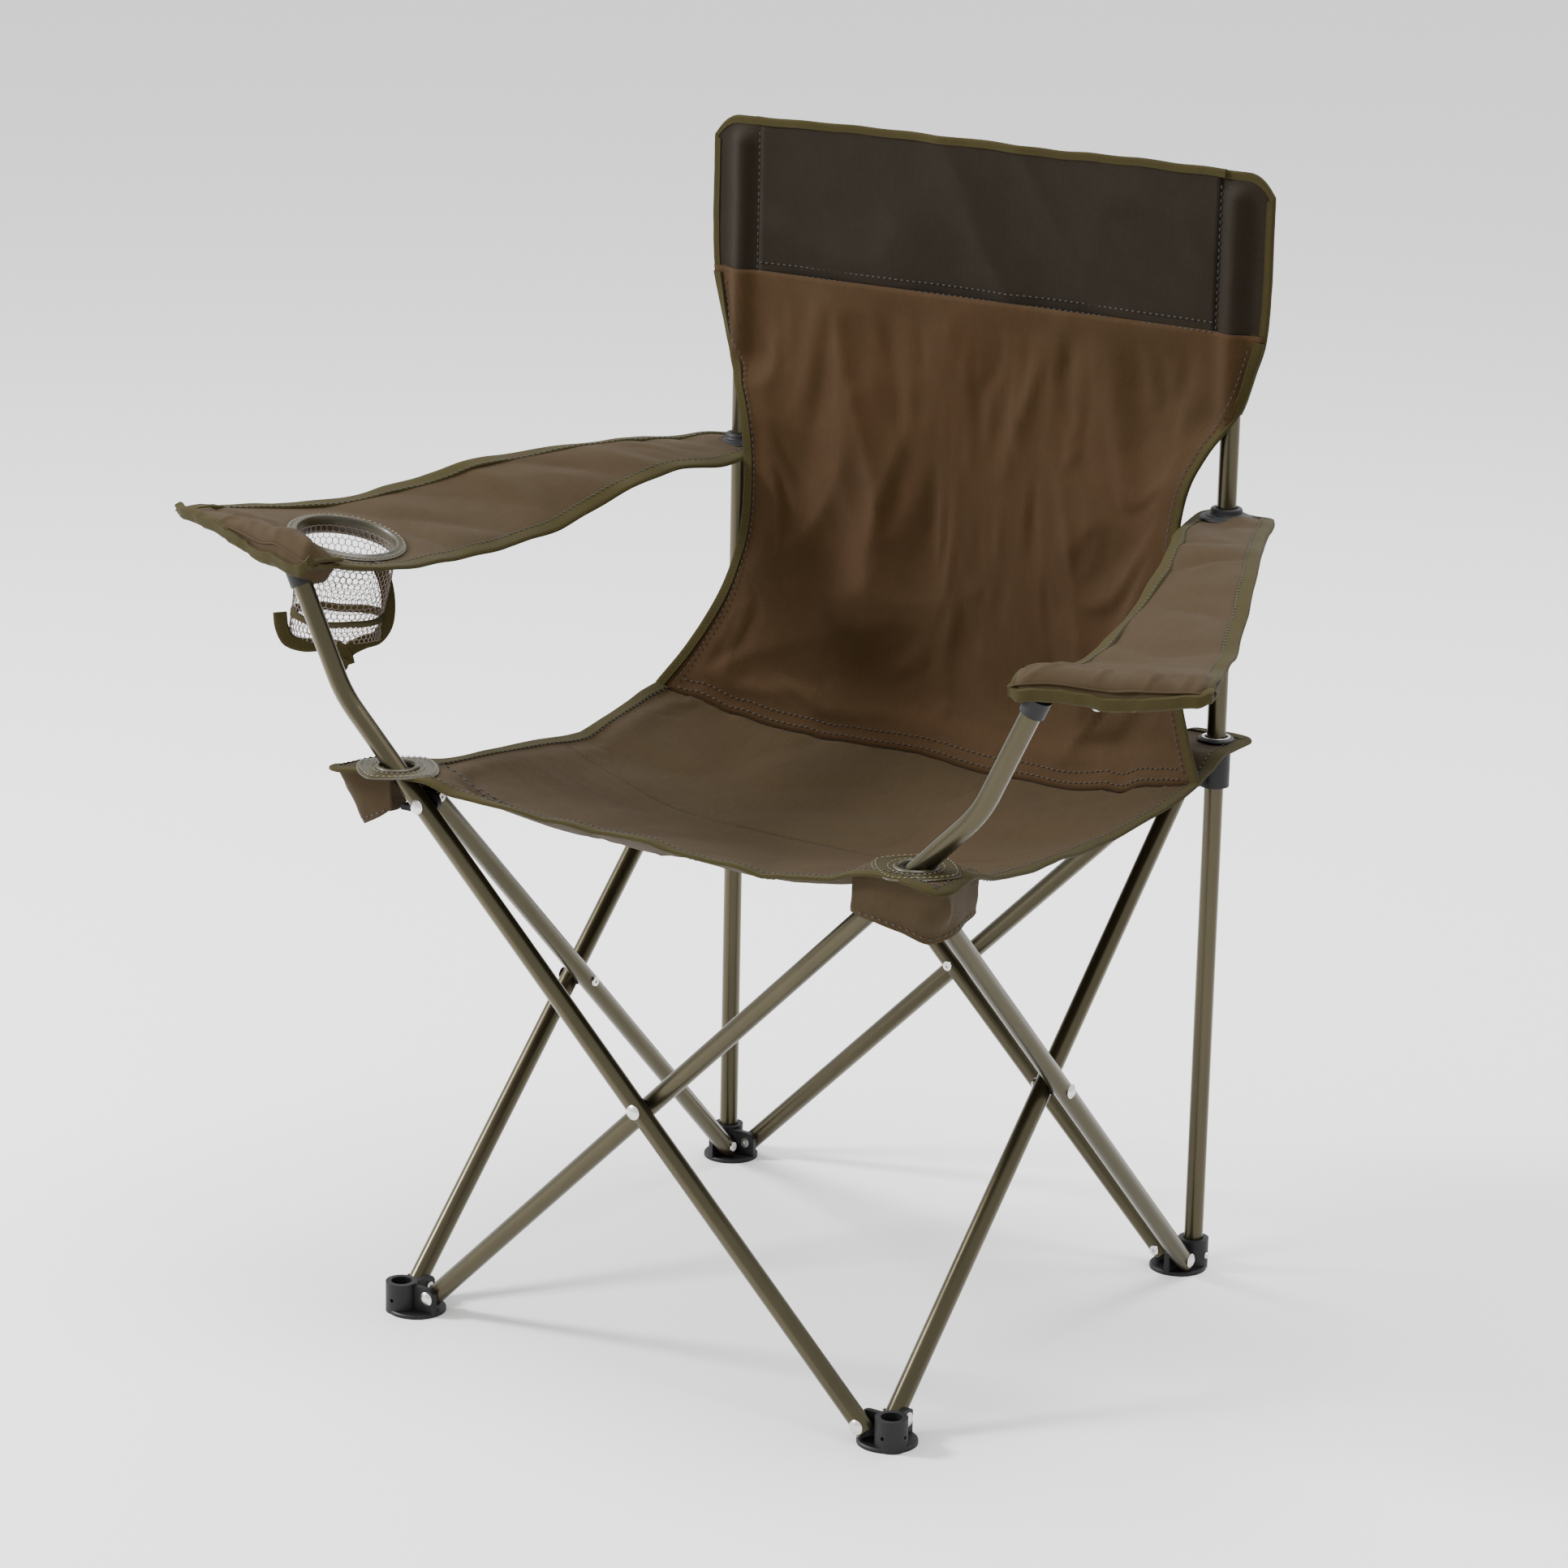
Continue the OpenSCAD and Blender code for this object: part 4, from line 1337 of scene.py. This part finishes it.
def make_patch(side):
    spot = RING[side].copy()
    spot.z += 0.0006
    flat = [(0.0136, 0.0), (0.0136, 0.0019), (0.0200, 0.0021), (0.0330, 0.0019), (0.0382, 0.0016),
            (0.0385, 0.0008), (0.0383, 0.0)]
    patch = turned("seat_patch_" + side, flat, spot, "vinyl", outline=diamond)
    rows = [circle_row("patch_row", 0.90, spot, 0.0021, outline=diamond, size=0.0030),
            circle_row("patch_row", 0.0215, spot, 0.0022, size=0.0028)]
    rows[0].data.materials[0] = rows[1].data.materials[0] = finish("pale_thread")
    patch_trim = joined("seat_patch_rows_" + side, *rows)
    ring = turned(
        "seat_eye_" + side,
        [(0.0134, -0.0022), (0.0131, 0.0010), (0.0138, 0.0035), (0.0155, 0.0044), (0.0176, 0.0036),
         (0.0186, 0.0018), (0.0160, 0.0008), (0.0158, -0.0022)],
        spot, "vinyl",
    )
    for piece in (patch, patch_trim, ring):
        follow(piece, "seat_corner_" + side)
    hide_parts("seat_patch_" + side)
    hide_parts("seat_ring_front_" + side)


def make_rear_ring(side):
    spot = Vector((SIGN[side] * POST_X, POST_Y, SEAT_Z + 0.0006))
    ring = turned(
        "rear_eye_" + side,
        [(0.0086, -0.0020), (0.0086, 0.0022), (0.0096, 0.0034), (0.0125, 0.0036), (0.0152, 0.0022),
         (0.0160, 0.0002), (0.0118, -0.0002), (0.0112, -0.0020)],
        spot, "black_plastic",
    )
    bezel = turned(
        "rear_bezel_" + side,
        [(0.0098, 0.0030), (0.0104, 0.0040), (0.0116, 0.0041), (0.0122, 0.0034), (0.0110, 0.0030)],
        spot, "rivet_steel",
    )
    for piece in (ring, bezel):
        follow(piece, "collar_" + side)
    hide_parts("seat_ring_rear_" + side)


def make_grommet(side):
    """Two-step grommet that lets the armrest slide on its post."""
    spot = Vector((SIGN[side] * POST_X, POST_Y, ARM_REAR_Z))
    grommet = turned(
        "post_grommet_" + side,
        [(0.0086, -0.0040), (0.0086, 0.0096), (0.0095, 0.0106), (0.0122, 0.0104), (0.0132, 0.0094),
         (0.0136, 0.0058), (0.0142, 0.0052), (0.0165, 0.0052), (0.0172, 0.0046), (0.0176, 0.0038),
         (0.0205, 0.0034), (0.0218, 0.0024), (0.0220, 0.0014), (0.0214, 0.0008), (0.0118, 0.0006),
         (0.0114, -0.0040)],
        spot, "black_plastic",
    )
    follow(grommet, "arm_grommet_" + side)
    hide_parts("arm_grommet_" + side)


def make_flap(side):
    """Doubled cloth that hangs under a front corner of the seat."""
    sign = SIGN[side]

    def border(t):
        wide = 0.150 if side == "right" else 0.09
        u, v = 0.5 + sign * (0.5 - wide + wide * min(1, 2 * t)), 0.15 * max(0, 2 * t - 1)
        turned_in = ease((t - 0.36) / 0.28)
        into = np.array([0, 1.0, 0]) * (1 - turned_in) - np.array([sign, 0, 0]) * turned_in
        return seat_point(u, v) + unit(into) * 0.0075, unit(into)

    ends = border(0)[0], border(1)[0]
    corner = np.array([sign * (side_x(SEAT_FRONT) + 0.004), SEAT_FRONT - 0.002, 0])

    def place(a, b):
        here, into = border(a)
        drop = 0.043 * math.sin(math.pi * (0.05 + 0.90 * a)) ** 0.25
        low = (1 - a) ** 2 * ends[0] + 2 * a * (1 - a) * corner + a * a * ends[1]
        here[:2] += (low - here)[:2] * b
        pinch = 0.0050 * math.exp(-(((a - 0.60) / 0.05) ** 2) - ((b - 0.38) / 0.26) ** 2)
        soft = (0.0022 * ripple(a * 5, b * 3, sign) + 0.0016 * math.sin(9 * a + 2 * sign)) * b
        return here - into * (pinch + soft) + np.array([0, 0, -0.0022 - drop * b])

    flip = (lambda u: u) if side == "right" else (lambda u: 1 - u)
    cloth = grid("flap_" + side, 70, 30, lambda u, v: place(flip(u), v), (0.13, 0.045))
    thicken(cloth, 0.0014)
    dress(cloth, "seat_cloth")
    run = [place(a, 0.90) for a in np.linspace(0.04, 0.96, 60)]
    out = [-border(a)[1] for a in np.linspace(0.04, 0.96, 60)]
    row = stitches("flap_row_" + side, run, out, lift=0.0009)
    for piece in (cloth, row):
        follow(piece, "seat_corner_" + side, (1, 0, 0), (RING[side].x, 0, 0), 0.35)
    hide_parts("corner_flap_" + side)


BAG_COS, BAG_SIN = 0.835, 0.55            # the turn of the seam that closes the pouch
BAG_ACROSS = Vector((BAG_COS, BAG_SIN, 0))
BAG_DEPTH_AXIS = Vector((-BAG_SIN, BAG_COS, 0))
BAG_SEAM_Z = box("cup_bag")[0].z + 0.002
BAG_SHIFT = (-0.008, -0.005)              # of that seam from under the cup ring's middle
CUP_R = 0.041                             # inner radius of the cup ring


def bag_point(turn, h):
    """The net pouch: turn round it, h from its top to the seam that closes it."""
    rx = CUP_R - 0.001 - 0.0030 * ease(h)
    ry = (CUP_R - 0.001) * (1 - 0.92 * h**3)
    soft = 1 + 0.045 * ripple(math.cos(turn) * 1.5, math.sin(turn) * 1.5, h * 2.5) * ease(h / 0.2)
    low = BAG_SEAM_Z + 0.004 * math.cos(turn) ** 2
    top = CUP.z - 0.004 - math.tan(CUP_ROLL) * CUP_R * (BAG_COS * math.cos(turn) - BAG_SIN * math.sin(turn))
    middle_shift = Vector((*BAG_SHIFT, 0)) * ease(h)
    place = Vector((CUP.x, CUP.y, 0)) + middle_shift
    place += BAG_ACROSS * (rx * math.cos(turn) * soft) + BAG_DEPTH_AXIS * (ry * math.sin(turn) * soft)
    return Vector((place.x, place.y, top + (low - top) * h))


CORD_R = 0.00042         # radius of the net's cord


def make_net():
    """Honeycomb of knitted cord: every edge of the pattern is a thin tube."""
    cell = cloth_sizes().net
    columns = 2 * round(2 * math.pi * 0.046 / cell)
    rows = round((CUP.z - BAG_SEAM_Z) / (cell * 0.86))
    made = bmesh.new()
    knots = {}
    for r in range(rows + 1):
        for c in range(columns):
            shift = 0.17 if (c + r) % 2 else -0.17
            h = min(1.0, max(0.0, (r + shift) / rows))
            knots[r, c] = made.verts.new(bag_point(2 * math.pi * c / columns, h))
    for (r, c), knot in knots.items():
        made.edges.new((knot, knots[r, (c + 1) % columns]))
        if (c + r) % 2 and r < rows:
            made.edges.new((knot, knots[r + 1, c]))
    mesh = bpy.data.meshes.new("cup_net")
    made.to_mesh(mesh)
    made.free()
    net = bpy.data.objects.new("cup_net", mesh)
    bpy.context.scene.collection.objects.link(net)
    pick(net)
    bpy.ops.object.convert(target="CURVE")
    net.data.bevel_depth = CORD_R
    net.data.bevel_resolution = 0
    bpy.ops.object.convert(target="MESH")
    net = bpy.context.object
    net.name = net.data.name = "cup_net"
    return dress(net, "mesh_cloth")


NET_BAND = 0.70          # how far down the pouch the band is
HEM_SCALE = (0.80, 1, 0.92)


def make_bag_trim():
    """The band knitted into the net and the bound seam that closes the pouch and droops below it."""
    turns = np.linspace(0, 2 * math.pi, 90, endpoint=False)
    edge = [np.array(bag_point(t, NET_BAND + 0.03 * ripple(t * 1.3, 0.3, 0.9))) for t in turns]
    down = [unit(np.array(bag_point(t, NET_BAND + 0.12)) - e) for t, e in zip(turns, edge)]
    band = tape("net_band", edge, down, closed=True, wide=0.5, thick=0.5)
    foot = Vector((CUP.x + BAG_SHIFT[0], CUP.y + BAG_SHIFT[1], BAG_SEAM_Z))
    outline = line([
        (-0.062, -0.002, 0.028), (-0.060, -0.003, 0.014), (-0.052, -0.003, 0.000), (-0.034, -0.002, -0.006),
        (-0.012, 0.000, -0.006), (0.004, -0.003, -0.009), (0.010, -0.006, -0.022), (0.016, -0.003, -0.010),
        (0.030, 0.000, -0.003), (0.046, 0.002, 0.002), (0.057, 0.003, 0.016), (0.060, 0.002, 0.036),
        (0.057, 0.001, 0.058), (0.050, 0.000, 0.074),
    ])
    run, into = [], []
    for t in np.linspace(0, 1, 120):
        a, d, z = outline(t) * HEM_SCALE
        ahead = (outline(min(1, t + 0.01)) - outline(max(0, t - 0.01))) * HEM_SCALE
        run.append(np.array(foot + BAG_ACROSS * a + BAG_DEPTH_AXIS * d + Vector((0, 0, z))))
        into.append(unit(np.array(BAG_ACROSS * -ahead[2] + Vector((0, 0, ahead[0])))))
    hem = tape("bag_hem", run, into, wide=0.8, thick=1.3)
    return joined("cup_bag_trim", hem, band)


def make_cup():
    """The cup ring in the left armrest, its stitches and the net pouch below it."""
    tilt = Matrix.Rotation(CUP_ROLL, 3, "Y")
    ring = turned(
        "cup_ring_flange",
        [(0.0405, -0.0120), (0.0402, -0.0020), (0.0408, 0.0030), (0.0424, 0.0046), (0.0440, 0.0034),
         (0.0452, 0.0022), (0.0490, 0.0020), (0.0500, 0.0014), (0.0500, 0.0006), (0.0440, 0.0004),
         (0.0424, -0.0015), (0.0420, -0.0120)],
        CUP, "vinyl", tilt,
    )
    rows = circle_row("cup_rows", 0.0474, CUP, 0.0023, tilt, size=0.0032, count=180)
    rows.data.materials[0] = finish("pale_thread")
    net, trim = make_net(), make_bag_trim()
    for piece, slot in ((ring, "vinyl"), (rows, "vinyl"), (net, "mesh_cloth"), (trim, "mesh_cloth")):
        follow(piece, "armrest_left", arm_run("left"), ARM_TOP["left"], KEEP_ARM)
    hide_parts("cup_ring")
    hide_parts("cup_bag")


# ---------- frame and stage ----------

def make_frame():
    """Gives every CAD node that stays in view its finish."""
    slots = {s["node"]: s.get("material_slot") for s in frame["record"]["subparts"]}
    for name, node in frame["nodes"].items():
        if node.hide_render:
            continue
        made = finish(slots[name])
        for slot in node.material_slots:
            slot.material = made


VIEW_AZIMUTH = math.radians(33.337)
VIEW_ELEVATION = math.radians(15.788)
VIEW_ROLL = math.radians(1.181)
VIEW_DISTANCE = 3.96627
VIEW_TARGET = Vector((-0.02064, -0.01358, 0.437715))
VIEW_LENS = 111.95


def make_camera():
    """The camera that the chair is seen by from its front right."""
    a, e = VIEW_AZIMUTH, VIEW_ELEVATION
    back = Vector((math.sin(a) * math.cos(e), -math.cos(a) * math.cos(e), math.sin(e)))
    right = Vector((math.cos(a), math.sin(a), 0))
    up = back.cross(right)
    turned_right = right * math.cos(VIEW_ROLL) + up * math.sin(VIEW_ROLL)
    turned_up = up * math.cos(VIEW_ROLL) - right * math.sin(VIEW_ROLL)
    data = bpy.data.cameras.new("camera")
    data.lens = VIEW_LENS
    data.sensor_width = 36
    camera = bpy.data.objects.new("camera", data)
    rows = Matrix((turned_right, turned_up, back)).transposed()
    camera.matrix_world = Matrix.Translation(VIEW_TARGET + ORIGIN + back * VIEW_DISTANCE) @ rows.to_4x4()
    bpy.context.scene.collection.objects.link(camera)
    bpy.context.scene.camera = camera


def lamp(name, place, size, power, target=(0, 0, 0.5)):
    """A round area light that points at target."""
    data = bpy.data.lights.new(name, "AREA")
    data.shape = "DISK"
    data.size = size
    data.energy = power
    made = bpy.data.objects.new(name, data)
    spot = Vector(place)
    turn = (spot - Vector(target)).to_track_quat("Z", "Y").to_matrix().to_4x4()
    made.matrix_world = Matrix.Translation(spot) @ turn
    bpy.context.scene.collection.objects.link(made)


def make_stage():
    """The floor, a pale world and three lights."""
    pick()
    bpy.ops.mesh.primitive_plane_add(size=60, location=(0, 0, 0))
    floor = bpy.context.object
    floor.name = "floor"
    dress(floor, "floor", smooth=False)
    world = bpy.data.worlds.new("studio")
    bpy.context.scene.world = world
    world.use_nodes = True
    sky = world.node_tree.nodes["Background"].inputs
    sky["Color"].default_value = (0.93, 0.93, 0.93, 1)
    sky["Strength"].default_value = 1.42
    lamp("key", (-3.0, -1.6, 2.6), 0.9, 250)
    lamp("top", (0.4, 0.4, 4.4), 2.4, 150)
    lamp("rim", (0.6, 2.8, 2.6), 1.4, 40)


# ---------- operators and panel ----------


class ChairOperator:
    bl_options = {"REGISTER", "UNDO"}

    def execute(self, context):
        self.build()
        return {"FINISHED"}


class CHAIR_OT_stage(ChairOperator, bpy.types.Operator):
    """Adds the camera, the floor and the lights"""

    bl_idname = "chair.stage"
    bl_label = "Stage"

    def build(self):
        make_camera()
        make_stage()


class CHAIR_OT_seat(ChairOperator, bpy.types.Operator):
    """Sews the seat, its tape and its stitching"""

    bl_idname = "chair.seat"
    bl_label = "Seat"

    def build(self):
        make_seat()


class CHAIR_OT_corners(ChairOperator, bpy.types.Operator):
    """Adds the patches, rings and flaps at the seat's corners"""

    bl_idname = "chair.corners"
    bl_label = "Seat corners"

    def build(self):
        for side in SIGN:
            make_patch(side)
            make_rear_ring(side)
            make_flap(side)


class CHAIR_OT_back(ChairOperator, bpy.types.Operator):
    """Sews the back panel, its band and the sleeves around the posts"""

    bl_idname = "chair.back"
    bl_label = "Backrest"

    def build(self):
        make_back()


class CHAIR_OT_arms(ChairOperator, bpy.types.Operator):
    """Sews the armrests, their hoods and the grommets on the posts"""

    bl_idname = "chair.arms"
    bl_label = "Armrests"

    def build(self):
        for side in SIGN:
            make_arm(side)
            make_grommet(side)


class CHAIR_OT_cup(ChairOperator, bpy.types.Operator):
    """Adds the cup ring and its net bag"""

    bl_idname = "chair.cup"
    bl_label = "Cup holder"

    def build(self):
        make_cup()


class CHAIR_OT_frame(ChairOperator, bpy.types.Operator):
    """Gives the tubes, feet, collars, brackets and rivets their finishes"""

    bl_idname = "chair.frame"
    bl_label = "Frame finishes"

    def build(self):
        make_frame()


STEPS = (
    CHAIR_OT_stage, CHAIR_OT_seat, CHAIR_OT_corners, CHAIR_OT_back, CHAIR_OT_arms, CHAIR_OT_cup,
    CHAIR_OT_frame,
)


class CHAIR_PT_panel(bpy.types.Panel):
    """Lists the sizes, the colours and the pieces of the chair"""

    bl_label = "Camp Chair"
    bl_idname = "CHAIR_PT_panel"
    bl_space_type = "VIEW_3D"
    bl_region_type = "UI"
    bl_category = "Camp Chair"

    def draw(self, context):
        layout = self.layout
        for group in (context.scene.chair_cloth, context.scene.chair_colours):
            box = layout.box()
            for name in group.bl_rna.properties.keys():
                if name not in ("rna_type", "name"):
                    box.prop(group, name)
        for step in STEPS:
            layout.operator(step.bl_idname)


CLASSES = (CHAIR_PG_cloth, CHAIR_PG_colours, *STEPS, CHAIR_PT_panel)


def register():
    for made in CLASSES:
        bpy.utils.register_class(made)
    bpy.types.Scene.chair_cloth = bpy.props.PointerProperty(type=CHAIR_PG_cloth)
    bpy.types.Scene.chair_colours = bpy.props.PointerProperty(type=CHAIR_PG_colours)


def unregister():
    del bpy.types.Scene.chair_cloth
    del bpy.types.Scene.chair_colours
    for made in reversed(CLASSES):
        bpy.utils.unregister_class(made)


def main():
    register()
    bpy.ops.chair.stage()
    bpy.ops.chair.seat()
    bpy.ops.chair.corners()
    bpy.ops.chair.back()
    bpy.ops.chair.arms()
    bpy.ops.chair.cup()
    bpy.ops.chair.frame()
    bpy.context.view_layer.update()


if __name__ == "__main__":
    main()
